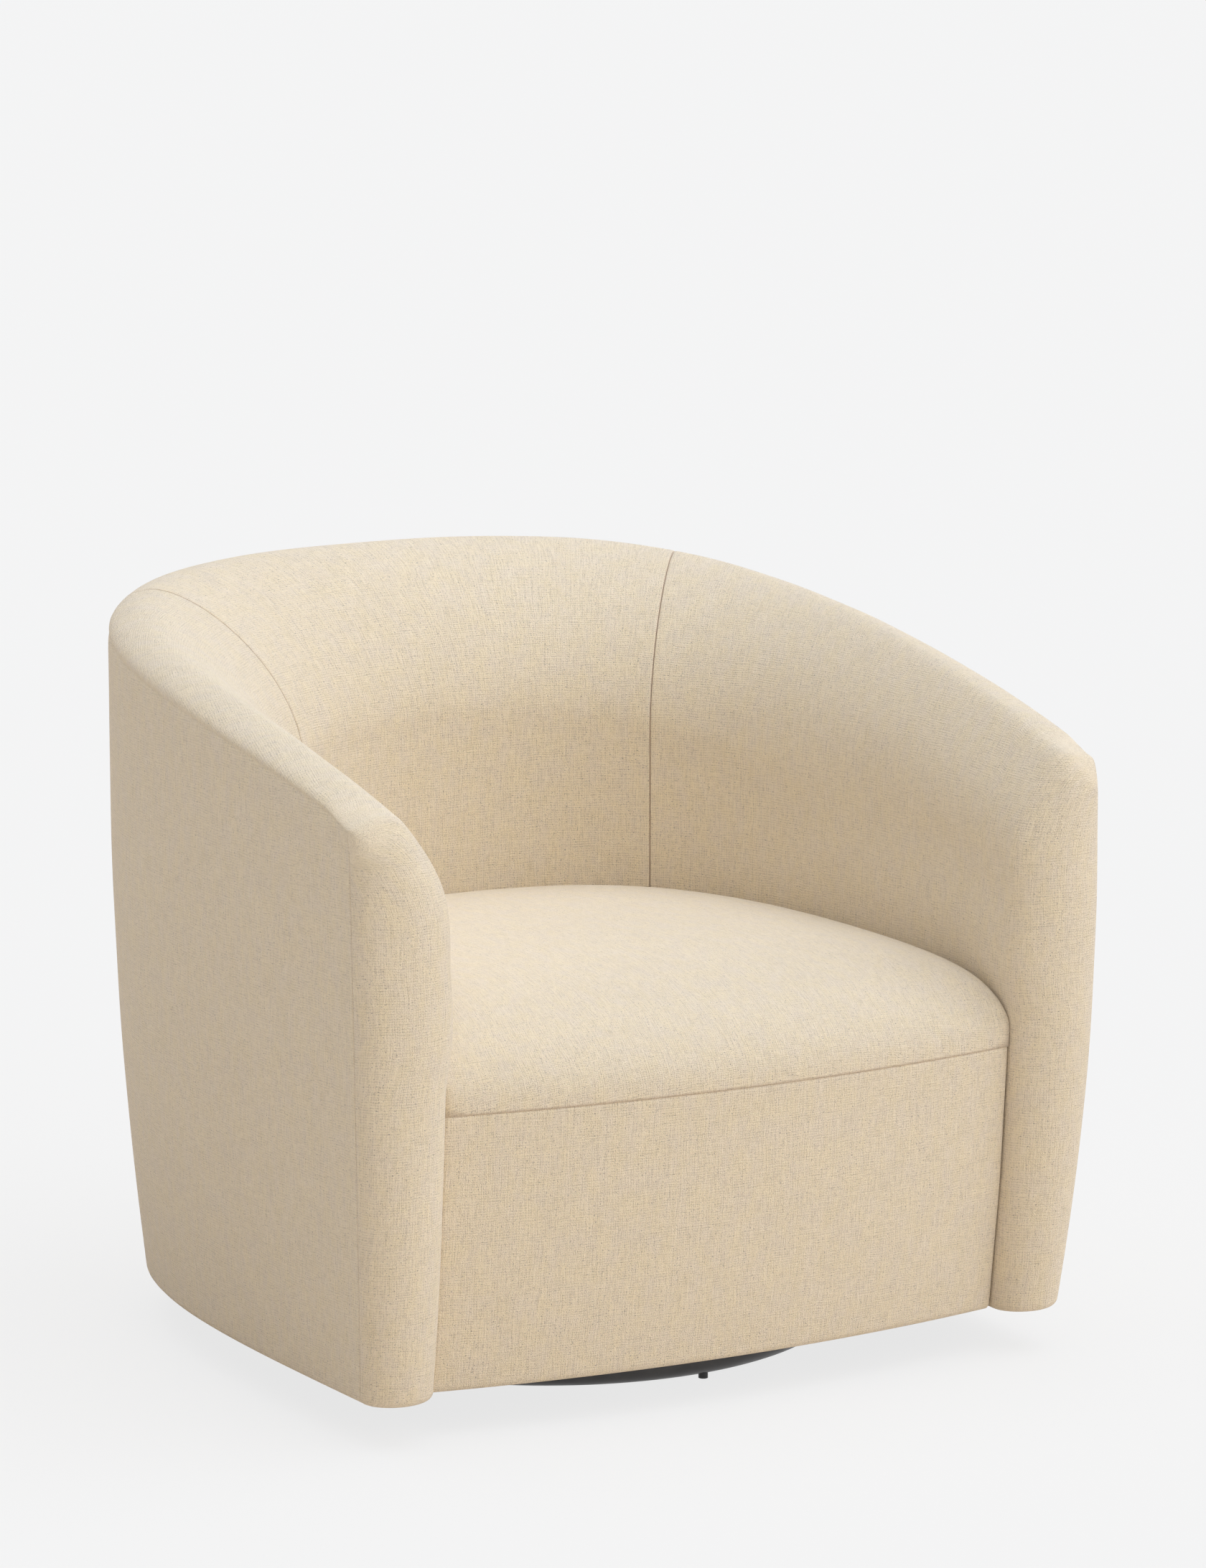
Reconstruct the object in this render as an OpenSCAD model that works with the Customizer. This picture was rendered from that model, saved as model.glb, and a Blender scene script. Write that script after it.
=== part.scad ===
// Swivel barrel chair: an upholstered tub on a ball-bearing swivel and a round steel ring base.
// Millimetres. Origin on the floor under the swivel axis, +Z up, the chair faces -Y.

/* [Overall] */
// Width over the widest part of the tub
overall_width = 800; // [740:10:880]
// Depth from the arm fronts to the outside of the back
overall_depth = 770; // [720:10:840]
// Height of the top of the back above the floor
back_height = 720; // [690:5:760]
// Height of the arm fronts above the floor
arm_height = 582; // [560:2:610]
// Gap between the floor and the upholstery
floor_gap = 42; // [41:1:47]

/* [Upholstery] */
// Thickness of an arm at its front
arm_thickness = 90; // [86:1:104]
// Thickness of the back at its middle
back_thickness = 188; // [175:1:200]
// How far the arm fronts bulge forwards of their seams
arm_front_bulge = 30; // [24:1:34]
// Height over which the top rolls down to the inside face
roll_drop = 156; // [140:1:165]
// Thickness of the upholstery fabric with its backing
cover_t = 1.5; // [1:0.1:1.8]
// Foam on the inside face of an arm
arm_foam_t = 38; // [34:1:42]
// Foam on the inside face of the back
back_foam_t = 75; // [65:1:85]
// Foam over the top and the arm fronts
top_foam_t = 24; // [20:1:26]

/* [Seat] */
// Height of the seam along the seat front
seat_seam_height = 303; // [295:1:312]
// Height of the seat where it meets the back
seat_edge_height = 382; // [376:1:387]
// Height of the seat crown
seat_crown_height = 402; // [396:1:412]
// How far the seat front and front panel bow forwards at the middle
front_bow = 30; // [22:1:34]

/* [Frame] */
// Thickness of the bottom boards
bottom_board_t = 22; // [18:1:25]
// Width of the bottom boards
bottom_board_w = 54; // [48:1:58]
// Height of the seat boards' upper face, which carries the webbing
seat_board_height = 240; // [232:1:246]
// Thickness of the seat boards
seat_board_t = 25; // [20:1:28]
// Thickness of the upright ribs
rib_t = 22; // [18:1:25]
// Thickness of the stiff liner boards
liner_t = 3; // [2:0.2:3.2]
// Height of the two mounting rails
mounting_rail_h = 45; // [40:1:50]
// Width of the two mounting rails
mounting_rail_w = 50; // [44:1:54]
// Width of one webbing strap
strap_w = 50; // [40:1:55]
// Thickness of one webbing strap
strap_t = 2; // [1.5:0.1:2.2]

/* [Swivel base] */
// Outside diameter of the base ring
ring_d = 564; // [540:2:580]
// Diameter of the tube that the base ring is rolled from
ring_tube_d = 30; // [28:0.5:31]
// Wall of the ring tube
ring_wall = 2; // [1.5:0.1:2.5]
// Clear height between the ring and the floor
glide_h = 5; // [4.5:0.5:6]
// Diameter of a floor glide
glide_d = 9; // [8:0.5:11]
// Number of floor glides
glide_count = 6; // [4:1:8]
// Angle from the middle of the front to the first glide
glide_turn = 4; // [0:1:30]
// Width of a cross arm of the base
cross_w = 40; // [36:1:46]
// Height of a cross arm of the base
cross_h = 24; // [20:1:26]
// Side of the square swivel plates
plate_side = 200; // [190:2:210]
// Thickness of a swivel plate
plate_t = 3; // [2.5:0.1:3.2]
// Gap between the two swivel plates
plate_gap = 5; // [4.8:0.1:5.2]
// Diameter of a bearing ball
ball_d = 6; // [5.8:0.1:6.2]
// Number of bearing balls
ball_count = 24; // [16:1:30]
// Radius of the circle of balls
ball_pitch_r = 50; // [46:1:56]
// Outside radius of the hollow pivot rivet
pivot_r = 10; // [8:0.5:12]

/* [Hidden] */

// Colours of the finishes
fabric_tone = [0.85, 0.79, 0.68];
foam_tone = [0.93, 0.88, 0.66];
wood_tone = [0.78, 0.62, 0.42];
liner_tone = [0.62, 0.50, 0.36];
ring_tone = [0.20, 0.20, 0.21];
steel_tone = [0.66, 0.67, 0.69];
black_tone = [0.08, 0.08, 0.08];
strap_tone = [0.80, 0.80, 0.76];
cage_tone = [0.90, 0.89, 0.85];

// Clearances
running_gap = 0.05;
seam_gap = 0.4;
loose_gap = 0.5;
cut = 1;

// Plan of the tub: control points as shares of the half width and of the tub's depth
outer_x_shares = [0.975, 1.0627, 0.966, 0];
outer_y_shares = [0, 0.777, 1, 1];
inner_x_shares = [1, 1.012, 0.654, 0];
inner_y_shares = [0, 0.843, 1, 1];
half_w = overall_width / 2;
back_y = overall_depth / 2;
front_y = arm_front_bulge - back_y;
tub_d = back_y - front_y;
inner_x = half_w * outer_x_shares[0] - arm_thickness;
inner_d = tub_d - back_thickness;
outer_controls = [for (k = [0:3]) [half_w * outer_x_shares[k], front_y + tub_d * outer_y_shares[k]]];
inner_controls = [for (k = [0:3]) [inner_x * inner_x_shares[k], front_y + inner_d * inner_y_shares[k]]];

// The roll along the top: its outer crease, how far it rises above the crease, and its width
arm_roll_rise = 11;
back_roll_rise = 25;
arm_roll_w = 38;
back_roll_w = 42;
arm_roll_swell = 13;
roll_power = 1.6;
rim_swell_share = 0.16;
rim_wave_share = 0.33;
arm_rim = arm_height - arm_roll_rise;
back_rim = back_height - back_roll_rise;

// The outside tapers below the taper height, more so at the back, and the front bows about
// the bow height
taper_height = 522;
taper_radius = 5530;
back_draw = 13;
draw_full_share = 0.65;
bow_height = 427;
front_bow_radius = 2440;
tuck_r = 12;

// Where the arm covers are sewn to the inside back cover, along the plan curve
inner_seam_share = 0.6;
front_notch_share = 0.03;
joint_share = 0.0003;

// Steps of the upholstery surfaces
cap_steps = 6;
arm_steps = 9;
back_steps = 6;
roll_steps = 3;
face_steps = 6;
wall_shares = [0.3, 0.65, 0.97, 0.99, 1];
row_count = roll_steps + face_steps + len(wall_shares) + 1;
cap_fall = 6;
cap_full_share = 0.8;
cap_power = 1.3;

// Heights of the layers, from the floor up
ring_z = glide_h + ring_tube_d / 2;
cross_top = glide_h + ring_tube_d;
lower_plate_top = cross_top + plate_t;
upper_plate_z = lower_plate_top + plate_gap;
upper_plate_top = upper_plate_z + plate_t;
dust_t = 1;
frame_z = upper_plate_top + dust_t;
bottom_board_top = frame_z + bottom_board_t;
seat_board_z = seat_board_height - seat_board_t;
deck_gap = 0.3;
deck_t = 1.6;
deck_z = seat_board_height + 2 * strap_t + 2 * deck_gap;
arm_foot_z = deck_z + deck_gap;
seat_foam_z = deck_z + deck_t + deck_gap;

// Frame sizes
frame_inset = 12;
rib_clearance = 6;
seat_board_inset = 5;
brace_inset = 35;
front_board_inset = 51;
front_board_y = front_y + front_board_inset;
front_board_d = 54;
top_rail_w = 24;
top_rail_h = 30;
top_rail_drop = 45;
rib_shares = [0.055, 0.25, 0.45, 0.63, 0.8, 1];
slope_step_share = 0.01;

// Cubic curve on four control points
function bezier(p, t) = pow(1 - t, 3) * p[0] + 3 * pow(1 - t, 2) * t * p[1]
    + 3 * (1 - t) * t * t * p[2] + pow(t, 3) * p[3];
function outer_plan(t) = bezier(outer_controls, t);
function inner_plan(t) = bezier(inner_controls, t);
function thickness(t) = norm(inner_plan(t) - outer_plan(t));
function inward(t) = (inner_plan(t) - outer_plan(t)) / thickness(t);
function back_share(t) = (outer_plan(t).y - front_y) / tub_d;
function taper(t, z) = let (below = max(0, taper_height - z)) below * below / (2 * taper_radius)
    + back_draw * min(1, back_share(t) / draw_full_share) * pow(below / taper_height, 2);
function lean(z) = pow(z - bow_height, 2) / (2 * front_bow_radius);
function tuck(z) = let (s = max(0, tuck_r - (z - floor_gap))) tuck_r - sqrt(max(0, tuck_r * tuck_r - s * s));
function rim(t) = let (w = back_share(t)) arm_rim
    + (back_rim - arm_rim) * (w + w * (1 - w) * (rim_swell_share + rim_wave_share * (1 - 2 * w)));
function roll_rise(t) = arm_roll_rise + (back_roll_rise - arm_roll_rise) * back_share(t);
function roll_w(t) = arm_roll_w + (back_roll_w - arm_roll_w) * back_share(t);
function foam_t(t) = arm_foam_t + (back_foam_t - arm_foam_t)
    * (thickness(t) - arm_thickness) / (back_thickness - arm_thickness);

// Stations along the plan curve, spread evenly; a track runs along them and can return on the left
function spread(start, end, steps) = [for (k = [0:steps]) start + (end - start) * k / steps];
function track(stations, mirrored) = concat([for (t = stations) [t, 1]],
    mirrored ? [for (k = [len(stations) - 2:-1:0]) [stations[k], -1]] : []);
function backwards(list) = [for (k = [len(list) - 1:-1:0]) list[k]];
side_stations = spread(front_notch_share, inner_seam_share - joint_share, arm_steps);
back_stations = spread(inner_seam_share + joint_share, 1, back_steps);

// A point of the tub: share t along the plan curve, distance d inwards from it, height z
function place(t, d, z, side = 1) = let (a = outer_plan(t), v = inward(t))
    [side * (a.x + v.x * d), a.y + v.y * d + pow(1 - back_share(t), 2) * lean(z), z];

// Section of the roll and inside face, row by row from the crease to the foot, as [d, z].
// insets holds how far the surface lies under the cover's outside: [outer side, inner side, top].
// Near the cover's outside, the roll of an arm swells towards the seat.
function section(t, row, foot, insets) = let (
        wide = thickness(t), crease_z = rim(t) - insets[2], top_z = crease_z + roll_rise(t),
        face_z = rim(t) + roll_rise(t) - roll_drop, face_d = wide - insets[1],
        top_d = insets[0] + roll_w(t) * (face_d - insets[0]) / wide,
        swell = insets[1] < foam_lip ? arm_roll_swell * (1 - back_share(t)) : 0)
    row < roll_steps ? let (a = 90 * row / roll_steps)
        [insets[0] + (top_d - insets[0]) * (1 - cos(a)), crease_z + roll_rise(t) * sin(a)]
    : row <= roll_steps + face_steps ? let (a = 90 * (row - roll_steps) / face_steps,
            rise = pow(cos(a), 2 / roll_power))
        [top_d + (face_d - top_d) * pow(sin(a), 2 / roll_power) + swell * pow(4 * rise * (1 - rise), 2),
         face_z + (top_z - face_z) * rise]
    : let (g = wall_shares[row - roll_steps - face_steps - 1]) [face_d, face_z + (foot - face_z) * g];

// Point of the half-round arm front, from its outer seam at turn 0 to its inside face at turn 180
function cap_point(row, turn, insets, front_inset, low) = let (
        r = section(0, row, low, insets),
        crease_z = rim(0) - insets[2],
        left_z = row == 0 ? crease_z : max(min(r[1], crease_z - cap_fall * row), low),
        left = place(0, insets[0] + taper(0, left_z) + tuck(left_z), left_z),
        right = place(0, r[0] - tuck(r[1]), r[1]),
        wide = abs(left.x - right.x),
        bulge = arm_front_bulge * pow(min(1, wide / (arm_thickness * cap_full_share)), cap_power)
            - front_inset - tuck(r[1]),
        middle = (left + right) / 2, half = (left - right) / 2)
    row == 0 ? left : middle + half * cos(turn) - [0, bulge * sin(turn), 0];

// All points of one surface of an arm's upholstery, row by row.
// The arm front runs down to the height low, and the inside face stops at the seat deck.
arm_cols = cap_steps + arm_steps + 2;
function arm_station(col) = col <= cap_steps ? 0 : col == cap_steps + 1 ? front_notch_share
    : front_notch_share + (inner_seam_share - front_notch_share) * (col - cap_steps - 1) / arm_steps;
function arm_grid(outer, inner_share, top, front, low, end_gap_share) = [for (row = [0:row_count - 1])
    for (col = [0:arm_cols - 1]) let (
            t = arm_station(col) * (col == arm_cols - 1 ? 1 - end_gap_share : 1),
            insets = [outer, inner_share * foam_t(t) + (1 - inner_share) * outer, top],
            s = section(t, row, col <= cap_steps ? low : arm_foot_z, insets))
        col < cap_steps ? cap_point(row, 180 * col / cap_steps, insets, front, low)
        : place(t, s[0] - (col == cap_steps && row > 0 ? tuck(s[1]) : 0), s[1])];

// All points of one surface of the inside back, row by row, from the right seam to the left seam
back_cols = 2 * back_steps + 1;
function back_grid(outer, inner_share, top, end_gap_share) = [for (row = [0:row_count - 1])
    for (c = track(back_stations, true)) let (
            t = c[0] == back_stations[0] ? inner_seam_share * (1 + end_gap_share) : c[0],
            inner = inner_share * foam_t(t) + (1 - inner_share) * outer,
            s = section(t, row, arm_foot_z, [outer, inner, top]))
        place(t, s[0], s[1], c[1])];

// Triangles of a quad, and of a grid of rows and columns. In the first row, the points before
// the column fan are one point, where an arm front closes.
function quad(a, b, c, d) = [[a, b, c], [a, c, d]];
function merged(row, col, cols, fan) = row == 0 && col < fan ? fan : row * cols + col;
function sheet_faces(rows, cols, fan, base) = [for (r = [0:rows - 2]) for (c = [0:cols - 2])
    each quad(base + merged(r, c, cols, fan), base + merged(r, c + 1, cols, fan),
        base + merged(r + 1, c + 1, cols, fan), base + merged(r + 1, c, cols, fan))];
function edge_path(rows, cols, fan) = concat(
    [for (c = [0:cols - 1]) merged(0, c, cols, fan)],
    [for (r = [1:rows - 1]) merged(r, cols - 1, cols, fan)],
    [for (c = [cols - 2:-1:0]) merged(rows - 1, c, cols, fan)],
    [for (r = [rows - 2:-1:1]) merged(r, 0, cols, fan)]);
function proper(faces) = [for (f = faces) if (f[0] != f[1] && f[1] != f[2] && f[2] != f[0]) f];
function turned(faces) = [for (f = faces) [f[2], f[1], f[0]]];

// A closed solid between an outside grid and an inside grid of the same size
module between(outside, inside, rows, cols, fan = 0) {
    n = rows * cols;
    path = edge_path(rows, cols, fan);
    m = len(path);
    sides = [for (k = [0:m - 1]) let (a = path[k], b = path[(k + 1) % m]) each quad(b, a, a + n, b + n)];
    polyhedron(points = concat(outside, inside), convexity = 6,
        faces = proper(concat(turned(sheet_faces(rows, cols, fan, 0)), sheet_faces(rows, cols, fan, n),
            turned(sides))));
}

// A curved rail: a band between two distances from the plan curve and two heights
module band(stations, near, far, low, high, mirrored = false) {
    path = track(stations, mirrored);
    outside = [for (edge = [1, 0]) for (s = path) let (z = edge == 1 ? high(s[0]) : low(s[0]))
        place(s[0], near(s[0]), z, s[1])];
    inside = [for (edge = [1, 0]) for (s = path) let (z = edge == 1 ? high(s[0]) : low(s[0]))
        place(s[0], far(s[0]), z, s[1])];
    between(inside, outside, 2, len(path));
}

// A flat curved board, cut from sheet wood
module flat_board(stations, near, far, low, thick, mirrored = false) {
    path = track(stations, mirrored);
    outline = concat([for (s = path) place(s[0], near(s[0]), low, s[1])],
        backwards([for (s = path) place(s[0], far(s[0]), low, s[1])]));
    translate([0, 0, low]) linear_extrude(thick) polygon([for (p = outline) [p.x, p.y]]);
}

// Four copies of the children at the corners of a square with this half side
module at_corners(half) {
    for (x = [-1, 1]) for (y = [-1, 1]) translate([x * half, y * half, 0]) children();
}

// Swivel base

cross_wall = 2.5;
weld_gap = 0.2;
lower_screw_at = 62;
lower_screw_r = 4;
lower_head_r = 6.5;
screw_head_h = 2.5;
nut_r = 6.5;
nut_h = 5;
pivot_wall = 2.5;
pivot_flange_r = 16;
pivot_flange_t = 2;
pivot_lip_r = 13;
pivot_lip_t = 1.6;
washer_r = 17;
washer_t = 2;
washer_gap = 0.2;
pivot_lip_z = upper_plate_top + washer_t + 2 * washer_gap;
groove_gap = 0.15;
cage_w = 16;
cage_t = 2;
plate_corner_r = 14;

module ring_tube(r) {
    rotate_extrude($fn = 96) translate([(ring_d - ring_tube_d) / 2, ring_z]) circle(r, $fn = 32);
}

module at_glides() {
    for (k = [0:glide_count - 1]) rotate([0, 0, glide_turn + 360 * k / glide_count - 90])
        translate([(ring_d - ring_tube_d) / 2, 0, 0]) children();
}

module base_ring() {
    color(ring_tone) difference() {
        ring_tube(ring_tube_d / 2);
        ring_tube(ring_tube_d / 2 - ring_wall);
        at_glides() translate([0, 0, glide_h - cut]) cylinder(r = glide_d / 2 + running_gap,
            h = ring_tube_d / 2, $fn = 24);
    }
}

module cross_bars(w, h, z, reach) {
    for (a = [45, 135]) rotate([0, 0, a]) translate([-reach, -w / 2, z]) cube([2 * reach, w, h]);
}

module base_cross() {
    reach = ring_d / 2 - ring_tube_d / 2;
    color(ring_tone) difference() {
        cross_bars(cross_w, cross_h, cross_top - cross_h, reach);
        cross_bars(cross_w - 2 * cross_wall, cross_h - 2 * cross_wall, cross_top - cross_h + cross_wall,
            reach + cut);
        ring_tube(ring_tube_d / 2 + weld_gap);
        drill(pivot_flange_r + loose_gap, cross_top - cross_wall, cross_wall);
        at_corners(lower_screw_at) drill(lower_screw_r, cross_top - cross_wall, cross_wall);
    }
}

module base_glides() {
    tall = glide_h + ring_wall + ring_tube_d / 4;
    color(black_tone) at_glides() cylinder(r = glide_d / 2, h = tall, $fn = 24);
}

module plate_blank(z) {
    flat = plate_side / 2 - plate_corner_r;
    translate([0, 0, z]) linear_extrude(plate_t) union() {
        square([plate_side, 2 * flat], center = true);
        square([2 * flat, plate_side], center = true);
        for (x = [-flat, flat]) for (y = [-flat, flat]) translate([x, y]) circle(plate_corner_r, $fn = 32);
    }
}

module ball_groove() {
    rotate_extrude($fn = 96) translate([ball_pitch_r, (lower_plate_top + upper_plate_z) / 2])
        circle(ball_d / 2 + groove_gap, $fn = 32);
}

// A round hole drilled through a layer of this thickness, for a pin of radius r
module drill(r, low, thick) {
    translate([0, 0, low - cut]) cylinder(r = r + running_gap, h = thick + 2 * cut, $fn = 48);
}

module lower_swivel_plate() {
    color(steel_tone) difference() {
        plate_blank(cross_top);
        ball_groove();
        drill(pivot_r, cross_top, plate_t);
        at_corners(lower_screw_at) drill(lower_screw_r, cross_top, plate_t);
    }
}

module lower_plate_screws() {
    long = nut_h + cross_wall + plate_t;
    color(steel_tone) at_corners(lower_screw_at) {
        translate([0, 0, lower_plate_top]) cylinder(r = lower_head_r, h = screw_head_h, $fn = 32);
        translate([0, 0, lower_plate_top - long]) cylinder(r = lower_screw_r, h = long, $fn = 24);
    }
}

module lower_plate_nuts() {
    low = cross_top - cross_wall - nut_h;
    color(steel_tone) at_corners(lower_screw_at) difference() {
        translate([0, 0, low]) cylinder(r = nut_r, h = nut_h, $fn = 6);
        drill(lower_screw_r, low, nut_h);
    }
}

module pivot_rivet() {
    low = cross_top - pivot_flange_t;
    long = pivot_lip_z + pivot_lip_t - low;
    color(steel_tone) translate([0, 0, low]) difference() {
        union() {
            cylinder(r = pivot_flange_r, h = pivot_flange_t, $fn = 48);
            cylinder(r = pivot_r, h = long, $fn = 48);
            translate([0, 0, long - pivot_lip_t]) cylinder(r = pivot_lip_r, h = pivot_lip_t, $fn = 48);
        }
        translate([0, 0, -cut]) cylinder(r = pivot_r - pivot_wall, h = long + 2 * cut, $fn = 48);
    }
}

module pivot_washer() {
    low = upper_plate_top + washer_gap;
    color(steel_tone) difference() {
        translate([0, 0, low]) cylinder(r = washer_r, h = washer_t, $fn = 48);
        drill(pivot_r, low, washer_t);
    }
}

module at_balls() {
    for (k = [0:ball_count - 1]) rotate([0, 0, 360 * k / ball_count])
        translate([ball_pitch_r, 0, (lower_plate_top + upper_plate_z) / 2]) children();
}

module ball_cage() {
    color(cage_tone) difference() {
        translate([0, 0, (lower_plate_top + upper_plate_z - cage_t) / 2]) difference() {
            cylinder(r = ball_pitch_r + cage_w / 2, h = cage_t, $fn = 96);
            translate([0, 0, -cut]) cylinder(r = ball_pitch_r - cage_w / 2, h = cage_t + 2 * cut, $fn = 96);
        }
        at_balls() cylinder(r = ball_d / 2 + groove_gap, h = ball_d, center = true, $fn = 24);
    }
}

module bearing_balls() {
    color(steel_tone) at_balls() sphere(ball_d / 2, $fn = 24);
}

// Fixings between the swivel and the frame

upper_bolt_at = 84;
upper_bolt_r = 3;
upper_head_r = 6;
tee_flange_r = 10;
tee_flange_t = 1.5;
tee_barrel_r = 4.5;
tee_barrel_h = 10;
rail_top = frame_z + mounting_rail_h;

module upper_swivel_plate() {
    color(steel_tone) difference() {
        plate_blank(upper_plate_z);
        ball_groove();
        drill(pivot_r, upper_plate_z, plate_t);
        at_corners(upper_bolt_at) drill(upper_bolt_r, upper_plate_z, plate_t);
    }
}

module upper_plate_bolts() {
    head_z = upper_plate_z - screw_head_h;
    color(steel_tone) at_corners(upper_bolt_at) translate([0, 0, head_z]) {
        cylinder(r = upper_head_r, h = screw_head_h, $fn = 32);
        cylinder(r = upper_bolt_r, h = rail_top - head_z, $fn = 24);
    }
}

module tee_nuts() {
    color(steel_tone) at_corners(upper_bolt_at) difference() {
        union() {
            translate([0, 0, rail_top]) cylinder(r = tee_flange_r, h = tee_flange_t, $fn = 32);
            translate([0, 0, rail_top - tee_barrel_h]) cylinder(r = tee_barrel_r, h = tee_barrel_h, $fn = 24);
        }
        drill(upper_bolt_r, rail_top - tee_barrel_h, tee_barrel_h + tee_flange_t);
    }
}

// Timber frame

board_start_share = 0.03;
block_share = 0.13;
rail_share = 0.86;
function board_near(t) = frame_inset + taper(t, frame_z);
function board_far(t) = board_near(t) + bottom_board_w;
function deck_near(t) = frame_inset + taper(t, seat_board_z);
function deck_far(t) = thickness(t) - seat_board_inset;
function liner_near(t) = thickness(t) - foam_t(t) - liner_t - loose_gap;
board_stations = spread(board_start_share, inner_seam_share - joint_share, arm_steps);

module mounting_rail() {
    start = front_board_y + front_board_d;
    end = place(rail_share, board_far(rail_share), frame_z).y - seam_gap;
    difference() {
        translate([upper_bolt_at - mounting_rail_w / 2, start, frame_z])
            cube([mounting_rail_w, end - start, mounting_rail_h]);
        at_corners(upper_bolt_at) {
            drill(upper_bolt_r, frame_z, mounting_rail_h);
            drill(tee_barrel_r, rail_top - tee_barrel_h + cut, tee_barrel_h);
        }
    }
}

module mounting_rail_left() { color(wood_tone) mirror([1, 0, 0]) mounting_rail(); }
module mounting_rail_right() { color(wood_tone) mounting_rail(); }

// A straight board across the front, as wide as the curved boards behind it
module cross_board(reach, low, thick) {
    translate([-reach, front_board_y, low]) cube([2 * reach, front_board_d, thick]);
}

module front_stretcher() {
    color(wood_tone) cross_board(half_w * outer_x_shares[0] - board_near(0), frame_z, bottom_board_t);
}

module front_rail() {
    color(wood_tone) cross_board(half_w * outer_x_shares[0] - deck_near(0), seat_board_z, seat_board_t);
}

// The curved boards start behind the straight one, whose rear edge they meet
module behind_front(low, thick) {
    intersection() {
        children();
        translate([-half_w, front_board_y + front_board_d, low - cut])
            cube([overall_width, overall_depth, thick + 2 * cut]);
    }
}

module bottom_board_side() {
    behind_front(frame_z, bottom_board_t) flat_board(board_stations,
        function(t) board_near(t), function(t) board_far(t), frame_z, bottom_board_t);
}

module bottom_board_left() { color(wood_tone) mirror([1, 0, 0]) bottom_board_side(); }
module bottom_board_right() { color(wood_tone) bottom_board_side(); }
module bottom_board_back() {
    color(wood_tone) flat_board(back_stations, function(t) board_near(t), function(t) board_far(t),
        frame_z, bottom_board_t, true);
}

module seat_board_side() {
    behind_front(seat_board_z, seat_board_t) flat_board(board_stations,
        function(t) deck_near(t), function(t) deck_far(t), seat_board_z, seat_board_t);
}

module seat_board_left() { color(wood_tone) mirror([1, 0, 0]) seat_board_side(); }
module seat_board_right() { color(wood_tone) seat_board_side(); }
module seat_board_back() {
    color(wood_tone) flat_board(back_stations, function(t) deck_near(t), function(t) deck_far(t),
        seat_board_z, seat_board_t, true);
}

// Triangular glue blocks in the front corners of both layers of boards
block_leg = 55;
module corner_block(x, low, thick) {
    y = front_board_y + front_board_d;
    translate([0, 0, low]) linear_extrude(thick)
        polygon([[x, y], [x - block_leg, y], [x, y + block_leg]]);
}

module corner_blocks() {
    low_share = rib_shares[0];
    low_x = place(low_share, board_far(low_share), frame_z).x - loose_gap;
    high_x = place(block_share, deck_far(block_share), seat_board_z).x - loose_gap;
    color(wood_tone) for (side = [0, 1]) mirror([side, 0, 0]) {
        corner_block(low_x, frame_z, bottom_board_t);
        corner_block(high_x, seat_board_z, seat_board_t);
    }
}

// An upright rib: an outline in distance and height, stood up along the section at share t
module rib(t, side, outline) {
    a = outer_plan(t);
    v = inward(t);
    turn = atan2(v.y, v.x);
    mirror([side < 0 ? 1 : 0, 0, 0]) translate([a.x, a.y, 0]) rotate([0, 0, turn]) rotate([90, 0, 0])
        translate([0, 0, -rib_t / 2]) linear_extrude(rib_t) polygon(outline);
}

module rib_set(lower) {
    for (k = [0:len(rib_shares) - 1]) for (side = rib_shares[k] < 1 ? [-1, 1] : [1]) {
        t = rib_shares[k];
        if (lower) rib(t, side, lower_rib_outline(t));
        else rib(t, side, upper_rib_outline(t));
    }
}

function lower_rib_outline(t) = [
    [board_near(t), bottom_board_top], [board_far(t), bottom_board_top],
    [thickness(t) - brace_inset, seat_board_z], [deck_near(t), seat_board_z]];

// The top of a rib just reaches the sloping rail above it
function rim_slope(t) = let (a = t - slope_step_share, b = min(1, t + slope_step_share))
    abs(rim(b) - rim(a)) / norm(outer_plan(b) - outer_plan(a));
function upper_rib_outline(t) = let (
        top = rim(t) - top_rail_drop - top_rail_h - rib_t / 2 * rim_slope(t) - 3 * seam_gap,
        face_z = rim(t) + roll_rise(t) - roll_drop, far = liner_near(t) - rib_clearance)
    [[frame_inset + taper(t, seat_board_height), seat_board_height], [far, seat_board_height],
     [far, face_z], [frame_inset + top_rail_w, top], [frame_inset, top]];

module lower_ribs() { color(wood_tone) rib_set(true); }
module upper_ribs() { color(wood_tone) rib_set(false); }

module top_rail(stations, mirrored) {
    band(stations, function(t) frame_inset, function(t) frame_inset + top_rail_w,
        function(t) rim(t) - top_rail_drop - top_rail_h, function(t) rim(t) - top_rail_drop, mirrored);
}

module top_rail_left() { color(wood_tone) mirror([1, 0, 0]) top_rail(side_stations, false); }
module top_rail_right() { color(wood_tone) top_rail(side_stations, false); }
module top_rail_back() { color(wood_tone) top_rail(back_stations, true); }

// Stiff liners under the outside cover and behind the inside foam

outer_liner_inset = cover_t + loose_gap;
liner_drop = 20;
liner_rows = 5;
liner_low = frame_z + bottom_board_t / 2;
function liner_z(t, row) = rim(t) - liner_drop + (liner_low - rim(t) + liner_drop) * row / (liner_rows - 1);

module outer_liner(stations, mirrored) {
    path = track(stations, mirrored);
    function grid(inset) = [for (row = [0:liner_rows - 1]) for (s = path) let (z = liner_z(s[0], row))
        place(s[0], inset + taper(s[0], z) + tuck(z), z, s[1])];
    between(grid(outer_liner_inset + liner_t), grid(outer_liner_inset), liner_rows, len(path));
}

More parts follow.
